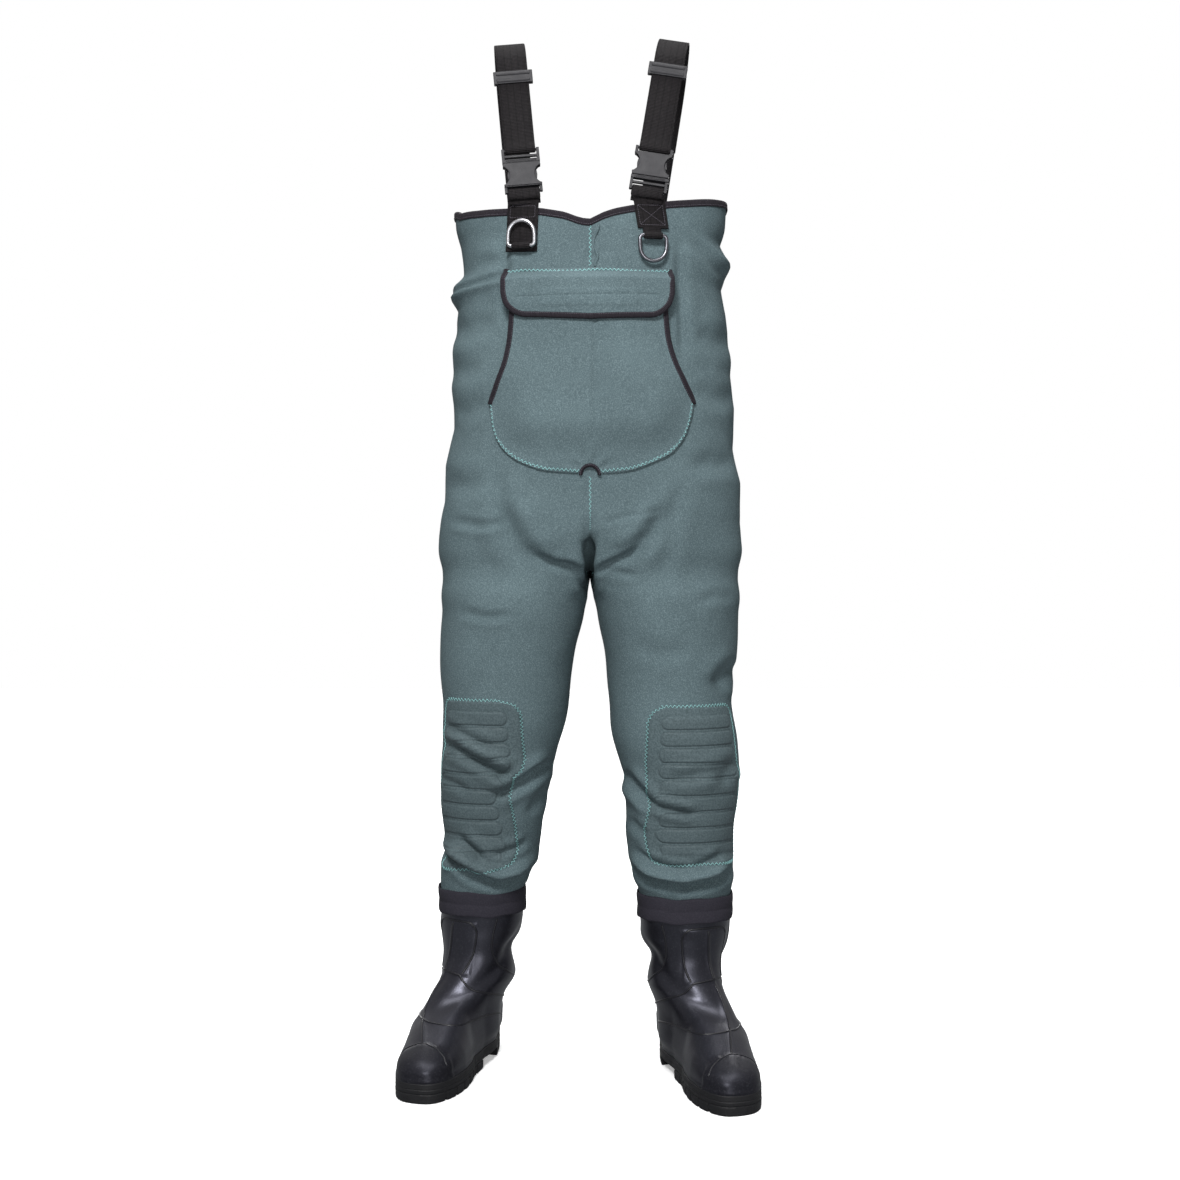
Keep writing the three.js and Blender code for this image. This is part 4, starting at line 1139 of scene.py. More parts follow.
def pocket_off(x, z):
    """How far the pocket's inner face stands off the bib."""
    left, right = pocket_edge(-1, z), pocket_edge(1, z)
    above, corner = z - POCKET["low"], POCKET["corner"]
    across = np.clip(np.minimum(x - left, right - x) / 60, 0, 1)
    up = above / (POCKET["high"] - POCKET["low"])
    belly = 16 * smooth(0, 0.26, up) * (1 - 0.42 * smooth(0.5, 1, up))
    edge = 8.5 * smooth(corner - 6, corner + 40, z)
    hang = np.sin(x / 37 + z / 60) * 0.9 * smooth(0, 1, across)
    crease = -2.2 * bump(x - 7, 4) * smooth(0.12, 0.3, up)
    turn, far = np.arctan2(x, above), np.hypot(x, above)
    pleats = 1.5 * np.cos(turn * 8.5) * bump(far - 26, 11) * smooth(2, 12, above)
    dip = -2.4 * bump(far, 34) * smooth(0, 10, above)
    full = (edge + (belly - edge) * smooth(0, 1, across)) * smooth(0, 0.3, up)
    loose = 0.6 + full + hang + crease + pleats + dip
    to_edge = np.minimum(np.minimum(x - left, right - x), above)
    sunk = np.clip(torso.at(x, z)[0][..., 1] - bib_front(x, z), -4, 14)
    return loose - sunk * smooth(34, 4, to_edge) * smooth(corner + 30, corner - 30, z)


def pocket_wall(z):
    """The pocket's thickness: it is pressed thin along its sewn edge."""
    return POCKET["wall"] * (0.55 + 0.45 * smooth(0, 6, z - POCKET["low"]))


def lifted(x, z, off):
    """Points straight off the bib's front at x and height z."""
    x = np.asarray(x, float)
    reach = 2.0
    along_x = (bib_front(x + reach, z) - bib_front(x - reach, z)) / (2 * reach)
    along_z = (bib_front(x, z + reach) - bib_front(x, z - reach)) / (2 * reach)
    n = unit(np.stack(np.broadcast_arrays(along_x * 0.6, -1.0, along_z * 0.2), -1))
    base = np.stack(np.broadcast_arrays(x, bib_front(x, z), float(z)), -1)
    return base + n * np.asarray(off)[..., None], n


def bib_front(x, z):
    """Depth of the bib without its small folds."""
    section = table(TORSO, z)
    u = np.abs(x - (section[0] + section[1]) / 2) / ((section[1] - section[0]) / 2)
    bow = (1 - np.clip(u, 0, 1) ** TORSO_POWER) ** (1 / TORSO_POWER)
    return (section[2] + section[3]) / 2 - (section[3] - section[2]) / 2 * bow


def edge_tape(name, path, across, out, body, nodes, width=8.0, thick=6.4):
    """Knit binding folded over an edge, with a row of stitches."""
    w, t = width / 2, thick / 2
    half = [(-w, t - 0.8), (-w + 0.6, t), (w - 2.2, t), (w - 0.5, t * 0.55)]
    profile = half + [(w, 0)] + [(x, -y) for x, y in reversed(half)] + [(-w, 0)]
    finish(sweep(name, path, across, out, profile), body, nodes, MAT["binding"])
    row = path + out * t - across * (w - 1.6)
    thread("stitch_" + name, row, across, out, body, "binding", MAT["dark_thread"],
           pitch=3.2, radius=0.32, lift=0.15, dashes=True)


def tape_frame(path):
    """Directions across and out for tape on a path along the front."""
    along = heading(path)
    out = unit(np.cross(along, np.cross([0.0, -1.0, 0.0], along)))
    return unit(np.cross(along, out)), out


def on_pocket(x, z, share=1.0, lift=0.0):
    """A point on the pocket, from its inner face at share 0 to its outer face at 1."""
    return lifted(np.array([x]), z, pocket_off(np.array([x]), z) + share * pocket_wall(z) + lift)[0][0]


def pocket():
    low, high, corner, notch = (POCKET[k] for k in ("low", "high", "corner", "notch"))
    first = low + np.array([0, 1, 2.5, 4.5, 7, 10])
    zs = np.concatenate([first, np.arange(low + 13, high - 2, 3), [high]])
    cols = 151
    outer, inner, uv = (np.zeros((len(zs), cols, k)) for k in (3, 3, 2))
    for i, z in enumerate(zs):
        x = np.linspace(pocket_edge(-1, z), pocket_edge(1, z), cols)
        off = pocket_off(x, z)
        inner[i], outer[i] = lifted(x, z, off)[0], lifted(x, z, off + pocket_wall(z))[0]
        uv[i] = np.stack([x, np.full(cols, z)], -1)
    obj = slab("pocket_front", outer, inner, uv)
    cut(obj, tube_between("notch_cutter", (0, -300, low - 1), (0, 0, low - 1), notch - 1))
    finish(obj, "suit", ["pocket_panel"], MAT["neoprene"])

    for word, side in SIDES.items():
        z = np.linspace(corner - 2, high - 2, 40)
        path = np.array([on_pocket(pocket_edge(side, h) + side * 0.5, h, 0.5) for h in z])
        across, out = tape_frame(path)
        if side * across[0, 0] < 0:
            across = -across
        edge_tape(f"pocket_tape_{word}", path, across, out, "suit", [f"pocket_binding_{word}"])

    turn = np.radians(np.linspace(-4, 184, 25))
    path = []
    for x, z in zip(notch * np.cos(turn), low - 1 + notch * np.sin(turn)):
        off = 2.9 + 1.2 * max(0, (z - low) / notch)
        path.append(lifted(np.array([x]), z, np.array([off]))[0][0])
    out = np.tile([0.0, -1.0, 0.0], (len(path), 1))
    across = np.stack([-np.cos(turn), 0 * turn, -np.sin(turn)], 1)
    edge_tape("drain_tape", np.array(path), across, out, "suit", ["pocket_drain_binding"], width=5, thick=5.6)

    for word, side in SIDES.items():
        top = corner - 3 if side < 0 else corner + 2
        edge = [
            (math.copysign(max(abs(x), notch + 3), x), z + 2.4 + 1.4 * float(smooth(70, 40, abs(x))))
            for z, x in POCKET_EDGE[side]
            if z <= top
        ]
        edge = np.array(edge[::-1] if side < 0 else edge)
        xz = pick(edge, np.linspace(0, len(edge) - 1, 70), np.arange(len(edge)))
        path = np.array([on_pocket(x, z, lift=0.25 + 0.7 * float(smooth(60, 40, abs(x)))) for x, z in xz])
        path[:, 0] *= 0.988
        out = np.tile([0.0, -1.0, 0.0], (len(path), 1))
        across = unit(np.cross(heading(path), out))
        thread(f"stitch_pocket_{word}", path, across, out, "suit", "neoprene", MAT["thread"],
               width=3.8, pitch=3.0, radius=0.55)

    strip("loop_strip", lambda x, z: pocket_off(x, z) + POCKET["wall"] + 0.3, "suit", "pocket_loop_strip")


def strip(name, off, body, node):
    """A strip of hook or loop tape, standing off the bib as off(x, z) says."""
    zs, xs = np.linspace(1122, 1144, 6), np.linspace(-72, 68, 30)
    outer, inner = (np.stack([lifted(xs, z, off(xs, z) + extra)[0] for z in zs]) for extra in (1.2, 0.0))
    uv = np.stack(np.broadcast_arrays(np.linspace(0, 140, len(xs))[None, :], zs[:, None]), -1)
    finish(slab(name, outer, inner, uv), body, [node], MAT["hook"])


def tube_between(name, a, b, radius, sides=32):
    a, b = np.array(a, float), np.array(b, float)
    d = unit(b - a)
    u = unit(np.cross(d, [0, 0, 1.0] if abs(d[2]) < 0.9 else [1.0, 0, 0]))
    ring = circle(sides) @ np.stack([u, np.cross(d, u)])
    return prism(name, np.stack([a + ring * radius, b + ring * radius]))


def cut(obj, cutter):
    """Takes the cutter's shape out of obj."""
    mod = obj.modifiers.new("cut", "BOOLEAN")
    mod.operation, mod.solver, mod.object = "DIFFERENCE", "EXACT", cutter
    bpy.context.view_layer.update()
    made = bpy.data.meshes.new_from_object(obj.evaluated_get(bpy.context.evaluated_depsgraph_get()))
    obj.modifiers.clear()
    obj.data = made
    bpy.data.objects.remove(cutter)


FLAP = {"top": 1178, "left": -119, "right": 113, "round": 30, "wall": 4.0}
FLAP_LOW = [[-119, 1112], [-90, 1110], [0, 1106], [90, 1109], [113, 1112]]


def flap_off(x, z):
    """How far the flap's inner face stands off the bib."""
    hang = smooth(1178, 1160, z)
    wave = 1.2 * np.sin(x / 31 + 0.6) * hang
    velcro = 0.8 * smooth(1119, 1123, z) * smooth(1147, 1143, z) * (np.abs(x + 3) < 70)
    return 1.2 + 18.5 * hang - 2.5 * smooth(1130, 1106, z) + wave + velcro


def imprint(x, z):
    """The strip behind shows through the flap as a shallow pressed line."""
    level = bump(z - 1136 - x / 60, 1.5) * (np.abs(x + 2) < 98)
    ends = bump(np.abs(x + 2) - 98, 1.5) * smooth(1119, 1122, z) * smooth(1138, 1134, z)
    middle = 0.6 * bump(x - 9, 3.2) * smooth(1176, 1160, z)
    return 0.85 * np.maximum(level, ends) + middle


def flap():
    top, r = FLAP["top"], FLAP["round"]
    cols, rows = ((193, 64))
    outer, inner, uv = (np.zeros((rows, cols, k)) for k in (3, 3, 2))
    xs = np.linspace(FLAP["left"], FLAP["right"], cols)
    corner = np.maximum(0, r - np.minimum(xs - FLAP["left"], FLAP["right"] - xs))
    low = line(FLAP_LOW, xs) + r - np.sqrt(np.maximum(r * r - corner**2, 0))
    for i in range(rows):
        z = low + (top - low) * (i / (rows - 1)) ** 0.8
        for j in range(cols):
            x = xs[j : j + 1]
            off = flap_off(x, z[j])
            wall = FLAP["wall"] * (0.5 if i == rows - 1 else 1) - imprint(x, z[j])
            inner[i, j] = lifted(x, z[j], off)[0][0]
            outer[i, j] = lifted(x, z[j], off + wall)[0][0]
            uv[i, j] = xs[j], z[j]
    obj = slab("flap_cloth", outer, inner, uv)
    finish(obj, "flap", ["pocket_flap"], MAT["neoprene"])
    blend_between(obj)

    mid = (outer + inner) / 2
    path = np.concatenate([mid[-2:0:-1, 0], mid[0], mid[1:-1, -1]])
    path = path[apart(path, 0.6)]
    for _ in range(2):
        path[1:-1] = (path[:-2] + 2 * path[1:-1] + path[2:]) / 4
    across, out = tape_frame(path)
    if across[len(path) // 2, 2] > 0:
        across = -across
    edge_tape("flap_tape", path, across, out, "flap", ["flap_binding"])

    z = top - 4.5
    p = []
    for k, x in enumerate(np.linspace(FLAP["left"] + 2, FLAP["right"] - 2, 120)[:, None]):
        p.append(lifted(x, z + 1.2 * math.sin(k / 9), flap_off(x, z) + 4.3)[0][0])
    out, across = (np.tile(unit(v), (len(p), 1)) for v in ([0.0, -1.0, 0.5], [0.0, 0.5, 1.0]))
    thread("stitch_flap", p, across, out, "suit", "neoprene", MAT["thread"], width=3.8, pitch=3.0, radius=0.6)
    strip("hook_strip", lambda x, z: flap_off(x, z) - 1.5, "flap", "flap_hook_strip")


# ------------------------------------------------------------------ boots

BOOTS = {
    -1: {"x": -185, "y": 86, "lean": (18, -12), "turn": -18, "shaft": (64, 68), "front": -37},
    1: {"x": 150, "y": 36, "lean": (-6, -11), "turn": 17, "shaft": (69, 69), "front": 27},
}
FOOT = [  # height, half width, toe and heel
    [25, 50.5, -254, 60.5], [34, 52, -255, 61], [44, 52, -251, 61], [52, 51.5, -240, 61], [58, 50.8, -224, 61],
    [65, 49.8, -203, 60.6], [74, 48.5, -181, 60], [88, 46, -149, 59], [108, 45, -112, 58.5], [130, 46, -88, 58],
    [160, 51, -70, 60.5],
]
SOLE_OUTLINE = {"half": 54.5, "toe": -258, "heel": 64}
CAP = 200  # from the ankle forward to the toe cap's edge
BOOT_GRIDS = {}
# the foot's middle line: distance ahead of the ankle, and how far it is bowed towards the other foot
BOW = [[-258, 20], [-240, 18], [-207, 16], [-172, 12], [-138, 5], [-117, -1], [-68, -5], [-20, 0], [64, 0]]


def waist(v):
    """How much narrower the foot is at v than its ball."""
    return -0.22 * smooth(-120, 20, v) + 0.05 * smooth(20, 60, v)


def past_cap(u, v):
    """How far behind the toe cap's curved edge a place on the foot is."""
    return v + CAP + 20 * (u / 50) ** 2


def foot_outline(half, toe, heel, foot, t, power=FOOT_POWER):
    """Points round a foot at angles t. foot is 1 at the sole and 0 at the shaft."""
    c, s = np.cos(t), np.sin(t)
    power = np.where(s < 0, power + (TOE_POWER - power) * foot, power)
    v = superellipse((toe + heel) / 2, (heel - toe) / 2, s, power)
    return superellipse(0, half * (1 + foot * waist(v)), c, power), v


def boot_place(sign, u, v, z):
    """Puts points of the boot's own frame, toes at -v, on the floor."""
    boot = BOOTS[sign]
    rise = smooth(60, 225, z)
    inner = np.clip(-sign * u / 40, 0, 1) * (8 + 8 * smooth(28, 50, z))
    u = u - sign * inner * smooth(-120, -20, v) * smooth(178, 122, z)
    u = u - sign * (1 - smooth(60, 150, z)) * line(BOW, v)
    angle = math.radians(boot["turn"]) * (1 - rise)
    x = boot["x"] + boot["lean"][0] * rise + u * np.cos(angle) - v * np.sin(angle)
    y = boot["y"] + boot["lean"][1] * rise + u * np.sin(angle) + v * np.cos(angle)
    return np.stack(np.broadcast_arrays(x, y, z), -1)


def boot_front(sign, z):
    """Where the boot's front seam is, in degrees round from straight ahead."""
    boot = BOOTS[sign]
    return boot["front"] + (boot["turn"] - boot["front"]) * smooth(120, 50, z)


def boot_relief(sign, turn, u, v, z):
    """Moulded thicknesses: shaft panel, front seam, toe cap, heel piece, edges over the sole and at the top."""
    side = np.abs((turn - boot_front(sign, z) + 180) % 360 - 180)
    shield = np.maximum(np.maximum(side - 33, (z - 216) / 1.1), 139 - z)
    rise = 1.2 * smooth(1.4, -1.4, shield)
    rise += 1.9 * bump(side, 3.0) * smooth(218, 208, z) * smooth(40, 60, z)
    rise += np.where(z < 95, 1.5 * smooth(1.2, -1.2, past_cap(u, v)), 0)
    rise += np.where(side > 120, 1.6 * smooth(74, 70, z) * smooth(120, 126, side), 0)
    rise += 1.6 * smooth(35, 31, z) + 1.0 * bump(z - 236, 5)
    return rise


def boot_dents(sign, turn, z):
    """Soft folds of the rubber: a crease round the back and sides of the ankle, and slack above it."""
    t = np.radians(turn)
    side = smooth(38, 95, np.abs(turn - BOOTS[sign]["turn"]))
    slope = 8 * np.cos(t) - 10 * sign * np.sin(t)
    crease = -3.6 * bump(z - 158 - slope, 17) * side
    swell = 3.0 * bump(z - 190, 22) * side + 3.2 * bump(z - 122, 15) * side
    slant = np.radians(turn + sign * 40)
    long_ = -4.6 * bump(z - 176 + 52 * (slant + 0.35 * sign) * sign, 14)
    long_ = long_ * smooth(75, 30, np.abs(turn + 18 * sign)) * smooth(228, 205, z)
    wave = 2.0 * np.sin(1.7 * t + z / 19 + sign) * smooth(90, 140, z) * smooth(228, 200, z)
    small = 0.8 * np.sin(3 * t - z / 11) * smooth(100, 140, z) * smooth(228, 200, z)
    wave, small = wave * (0.3 + 0.7 * side), small * (0.2 + 0.8 * side)
    return crease + swell + long_ + wave + small


def on_boot(sign, angles, heights):
    """Points and normals of a boot's surface at angles round it and heights."""
    zs, turn, points, normal = BOOT_GRIDS[sign]
    out = []
    for a, z in zip(angles, heights):
        k = int(np.clip(np.searchsorted(zs, z) - 1, 0, len(zs) - 2))
        f = float(np.clip((z - zs[k]) / (zs[k + 1] - zs[k]), 0, 1))
        pair = []
        for i in (k, k + 1):
            order = np.argsort(turn[i])
            both = np.concatenate([points[i], normal[i]], 1)[order]
            pair.append([np.interp(a, turn[i][order], both[:, c], period=360) for c in range(6)])
        out.append(np.array(pair[0]) * (1 - f) + np.array(pair[1]) * f)
    out = np.array(out)
    return out[:, :3], unit(out[:, 3:])


def ridge(name, sign, line_, radius=1.8, front=True):
    """A moulded line on a boot, through (degrees round from the front seam, height)."""
    fine = dense(np.array(line_, float), 3.0)
    heights = fine[:, 1]
    p, n = on_boot(sign, fine[:, 0] + (boot_front(sign, heights) if front else 0), heights)
    finish(wire(name, [p - n * radius * 0.2], radius, 2), "suit", material=MAT["rubber_line"])


def mirrored(half, middle):
    """A line over the front seam, from one half and the point on the seam."""
    return [(-a, h) for a, h in half] + [middle] + half[::-1]


def boot_lines(word, sign):
    """The thin moulded lines of a boot."""
    ridge(f"boot_seam_{word}", sign, [(0, 214), (0, 180), (0, 143)], 1.9)
    ridge(f"boot_seam_low_{word}", sign, [(0, 134), (0, 110), (0, 88), (0, 72), (0, 66)], 1.6)
    shield = [(25, 141), (31, 160), (34, 190), (33, 206), (27, 215), (14, 218)]
    ridge(f"boot_shield_{word}", sign, mirrored(shield, (0, 218.5)))
    ridge(f"boot_bar_{word}", sign, mirrored([(23, 139), (12, 141)], (0, 141.5)))
    ankle = [(23, 139), (30, 130), (44, 117), (62, 104), (82, 96), (104, 92)]
    side = [(60, 222), (56, 196), (57, 172), (66, 150), (84, 134), (110, 126)]
    for k in (-1, 1):
        ridge(f"boot_ankle_{word}_{k}", sign, [(k * a, h) for a, h in ankle])
        ridge(f"boot_side_{word}_{k}", sign, [(k * a, h) for a, h in side])
    ridge(f"boot_instep_{word}", sign, mirrored([(108, 60), (80, 66), (50, 74), (24, 82)], (0, 86)))
    boot = BOOTS[sign]
    c, s = math.cos(math.radians(boot["turn"])), math.sin(math.radians(boot["turn"]))
    heights = np.arange(34, 96, 1.0)
    cap = []
    for a in boot["turn"] + np.linspace(-62, 62, 41) * 0.75:
        p, _ = on_boot(sign, np.full(len(heights), a), heights)
        d = p[:, :2] - [boot["x"], boot["y"]]
        off = past_cap(d @ [c, s], d @ [-s, c])
        if off[0] < 0 < off[-1]:
            cap.append((a, float(np.interp(0, off, heights))))
    ridge(f"boot_cap_{word}", sign, cap, 1.3, front=False)


def boots():
    step, sides = ((1.7, 200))
    zs = np.concatenate([np.arange(25.2, 246, step), [246.5]])
    for word, sign in SIDES.items():
        a, b = BOOTS[sign]["shaft"]
        top = [a - 1, -b + 1, b - 1]
        rows = FOOT + [[195, (a + 51) / 2 + 2, -66, 65], [228, *top], [250, *top]]
        base = np.zeros((len(zs), sides, 3))
        u_grid, v_grid = np.zeros(base.shape[:2]), np.zeros(base.shape[:2])
        for i, z in enumerate(zs):
            half, toe, heel = table(rows, z)
            power = FOOT_POWER + (LEG_POWER - FOOT_POWER) * float(smooth(60, 225, z))
            u, v = foot_outline(half, toe, heel, 1 - float(smooth(60, 150, z)), turns(sides), power)
            u_grid[i], v_grid[i] = u, v
            base[i] = boot_place(sign, u, v, np.full(sides, z))
        z_grid = base[..., 2]
        turn = np.degrees(np.arctan2(u_grid, -v_grid)) + BOOTS[sign]["turn"] * (1 - smooth(60, 225, z_grid))
        turn = (turn + 180) % 360 - 180
        round_ = (np.roll(base, -1, 1) - np.roll(base, 1, 1)) / 2
        normal = unit(np.cross(round_, np.gradient(base, axis=0)))
        move = boot_relief(sign, turn, u_grid, v_grid, z_grid) + boot_dents(sign, turn, z_grid)
        outer = base + normal * (move * smooth(247, 226, z_grid))[..., None]
        BOOT_GRIDS[sign] = (zs, turn, outer, normal)
        faces = grid_faces(len(zs), sides, wrap=True) + [tuple(range(sides))[::-1]]
        obj = mesh_object(f"boot_shell_{word}", outer.reshape(-1, 3), faces)
        worn = smooth(3, -6, past_cap(u_grid, v_grid)) * smooth(95, 80, z_grid) * 0.75
        paint(obj, worn + 0.25 * smooth(80, 30, z_grid) + 0.5 * smooth(36, 27, z_grid))
        thicken(obj, 3.0)
        finish(obj, "suit", [f"boot_upper_{word}"], MAT["rubber"])
        boot_lines(word, sign)
        sole(word, sign)
        insole(word, sign)


def sole_ring(sign, v0, v1, grow, count, z):
    """The outsole's outline from v0 to v1, at height z."""
    vs = np.linspace(v0, v1, count)
    half = np.array([half_width(v, grow) for v in vs])
    u, v = np.concatenate([half, -half[::-1]]), np.concatenate([vs, vs[::-1]])
    return boot_place(sign, u, v, np.full(2 * count, z))


# the outsole's edge: height, and how far it stands out
SOLE_EDGE = [(13, -4.5), (13, -1.2), (14.5, 0), (19, 0.4), (20, -0.5), (21, 0.2), (27.5, 0.2), (28.6, -0.8),
             (28.8, -3.6), (25.4, -4.2), (24.9, -9)]
LUG_EDGE = [(0.0, -1.2), (1.2, 0.0), (11.8, 0.4), (13.4, 0.0)]
LUGS = [(-258, -233), (-228, -209), (-204, -184), (-179, -159), (-154, -134), (-129, -109), (-104, -76),
        (-10, 10.5), (15.5, 34.5), (39.5, 64)]


def sole(word, sign):
    """Outsole: a raised edge round the foot, a lugged ball and a heel block."""
    o = SOLE_OUTLINE
    rings = []
    for z, g in SOLE_EDGE:
        u, v = foot_outline(o["half"] + g, o["toe"] - g, o["heel"] + g, 1, turns(120))
        rings.append(boot_place(sign, u, v, np.full(120, float(z))))
    parts = [prism(f"sole_plate_{word}", np.stack(rings))]
    for k, (v0, v1) in enumerate(LUGS):
        rings = [sole_ring(sign, v0 - min(g, 0), v1 + min(g, 0), g, 12, z) for z, g in LUG_EDGE]
        parts.append(prism(f"lug_{word}_{k}", np.stack(rings)))
    for v0, v1 in ((-258, -76), (-10, 64)):
        rings = [sole_ring(sign, v0 + 3, v1 - 1, -0.8, 30, z) for z in (4.0, 13.4)]
        parts.append(prism(f"core_{word}_{v0}", np.stack(rings)))
    obj = join(parts, f"outsole_{word}_look")
    finish(obj, "suit", [f"boot_outsole_{word}"], MAT["sole"], shade=False)
    bevel(obj, 0.7, 2)


def half_width(v, grow):
    """Half the outsole's width at v."""
    o = SOLE_OUTLINE
    mid, reach = (o["toe"] + o["heel"]) / 2, (o["heel"] - o["toe"]) / 2 + grow
    s = min(0.9995, abs(v - mid) / reach)
    power = TOE_POWER if v < mid else FOOT_POWER
    return (o["half"] + grow) * (1 + float(waist(v))) * (1 - s**power) ** (1 / power)


def join(parts, name):
    """One object made of several."""
    data = bpy.data.meshes.new(name)
    bm = bmesh.new()
    for part in parts:
        bm.from_mesh(part.data)
    bm.to_mesh(data)
    bm.free()
    for part in parts:
        bpy.data.objects.remove(part)
    return linked(name, data)


def insole(word, sign):
    u, v = foot_outline(44, -238, 52, 1, turns(64))
    rings = np.stack([boot_place(sign, u, v, np.full(64, z)) for z in (29.6, 33.4)])
    obj = prism(f"insole_{word}", rings)
    finish(obj, "suit", [f"boot_insole_{word}"], MAT["insole"], shade=False)


# ------------------------------------------------------------------ straps

PITCH = math.radians(6.3)
BUCKLE = {"length": 66, "half": 27, "bar_at": 2.8, "mouth": 44}
SLIDER = {"width": 56, "height": 18, "thick": 9}
WEBBING = 44
RUN, STRAP_SPAN = 200, 248
# at: the buckle's lower end; lean, yaw: the strap's angles; rise, slider: along the strap from there;
# tab: x and height of the tab's lower end; ring: depth and height of the ring's bar; up: where the ring points
STRAPS = {
    "right": {"at": (-94, -125, 1286), "lean": 5.3, "yaw": 2.6, "rise": 244, "slider": 172,
              "tab": (-98, 1203), "ring": (-130.2, 1210), "up": 1},
    "left": {"at": (82, -125, 1288), "lean": -9.2, "yaw": -2.6, "rise": 252, "slider": 182,
             "tab": (90, 1236), "ring": (-132.2, 1224), "up": -1},
}
RING = {"half": 19, "wire": 2.8, "depth": 36}


def plane_matrix(side):
    s = STRAPS[side]
    lean, yaw = math.radians(-s["lean"]), math.radians(s["yaw"])
    cy, sy, cl, sl = math.cos(yaw), math.sin(yaw), math.cos(lean), math.sin(lean)
    rz = np.array([[cy, -sy, 0], [sy, cy, 0], [0, 0, 1]])
    ry = np.array([[cl, 0, sl], [0, 1, 0], [-sl, 0, cl]])
    return rz @ ry


def in_plane(side, points):
    """Points across, behind and up a strap's own plane."""
    return np.asarray(points, float) @ plane_matrix(side).T + np.array(STRAPS[side]["at"], float)


def on_buckle(side, points):
    """Points across, behind and along the front run, from the buckle's lower end."""
    p = np.asarray(points, float)
    c, s = math.cos(PITCH), math.sin(PITCH)
    x, y, z = p[..., 0], p[..., 1], p[..., 2]
    return in_plane(side, np.stack([x, y * c + z * s, -y * s + z * c], -1))


def on_half(side, points):
    """The buckle halves' own frame: the left buckle is upside down."""
    p = np.asarray(points, float)
    if side == "left":
        p = np.stack([-p[..., 0], p[..., 1], BUCKLE["length"] - p[..., 2]], -1)
    return on_buckle(side, p)


def on_run(along, behind):
    """(depth, height) of a place along and behind the strap's front run."""
    c, s = math.cos(PITCH), math.sin(PITCH)
    return np.array([along * s + behind * c, along * c - behind * s])


def round_bar(bar, radius, up, steps=11):
    """Points round a buckle's bar, from behind it to its front."""
    side = 1 if up else -1
    turn = [math.radians(a) for a in np.linspace(90, -90, steps)]
    return [on_run(bar - side * radius * math.cos(a), radius * math.sin(a)) for a in turn]


def dense(points, step=3.0):
    """Points spread evenly on a smooth curve through the given ones."""
    p = np.asarray(points, float)
    s = distance(p)
    slope = np.gradient(p, s, axis=0)
    at = np.linspace(0, s[-1], max(3, int(s[-1] / step)))
    k = np.clip(np.searchsorted(s, at) - 1, 0, len(s) - 2)
    h = (s[k + 1] - s[k])[:, None]
    return hermite((at - s[k])[:, None] / h, h, p[k], slope[k], p[k + 1], slope[k + 1])


def tape_profile(width, thick):
    w, t = width / 2, thick / 2
    upper = [(-w + 0.5, t), (0, t), (w - 0.5, t), (w, t * 0.4)]
    return upper + [(w, -t * 0.4)] + [(x, -y) for x, y in upper[2::-1]] + [(-w, -t * 0.4), (-w, t * 0.4)]


def band(name, side, line_, width, thick, body, nodes, look="webbing"):
    """Webbing in the strap's own plane, through points (depth, height)."""
    line_ = dense(line_, 2.4)
    path = in_plane(side, np.stack([np.zeros(len(line_)), line_[:, 0], line_[:, 1]], 1))
    across = np.tile(plane_matrix(side)[:, 0], (len(path), 1))
    out = unit(np.cross(heading(path), across))
    obj = sweep(name, path, across, out, tape_profile(width, thick))
    finish(obj, body, nodes, MAT[look])
    return obj, path, across, out


def crossed_box(name, run, low, high, half, lift, body):
    """A sewn box with a cross, on a strap's outer face, between two distances from the end of its run."""
    path, across, out = (v[::-1] for v in run)
    for k, (a, b) in enumerate(box_lines(half, low, high)):
        sewn(f"{name}_{k}", body, distance(path), path, across, -out, a, b, lift, 24)


def box_lines(half, low, high, crossed=True):
    corners = [(-half, low), (half, low), (half, high), (-half, high)]
    sides = [(corners[k], corners[(k + 1) % 4]) for k in range(4)]
    return sides + [(corners[0], corners[2]), (corners[1], corners[3])] if crossed else sides


def bezier(a, b, c, d, n):
    t = np.linspace(0, 1, n)[:, None]
    return (1 - t) ** 3 * a + 3 * (1 - t) ** 2 * t * b + 3 * (1 - t) * t * t * c + t**3 * d


def block(name, side, outline, y0, y1, place=None):
    """A closed block over an outline (x, z) of the buckle halves' frame, from y0 to y1."""
    o = np.asarray(outline, float)
    rings = np.stack([np.stack([o[:, 0], np.full(len(o), y), o[:, 1]], 1) for y in (y0, y1)])
    return prism(name, (place or on_half)(side, rings))


def rect(x0, x1, z0, z1):
    return [(x0, z0), (x1, z0), (x1, z1), (x0, z1)]


def bar(name, side, z):
    return tube_between(name, on_half(side, [-24, 0, z]), on_half(side, [24, 0, z]), 2.2, 20)


def arms(side, z0, z1, y):
    """The two side arms that hold a buckle half's bar."""
    return [block("arm", side, rect(min(s * 23, s * 27), max(s * 23, s * 27), z0, z1), -y, y) for s in (-1, 1)]


def moulded(parts, name, body, node, bevel_width, segments, angle):
    obj = join(parts, name)
    finish(obj, body, [node], MAT["plastic"], shade=False)
    bevel(obj, bevel_width, segments, angle)


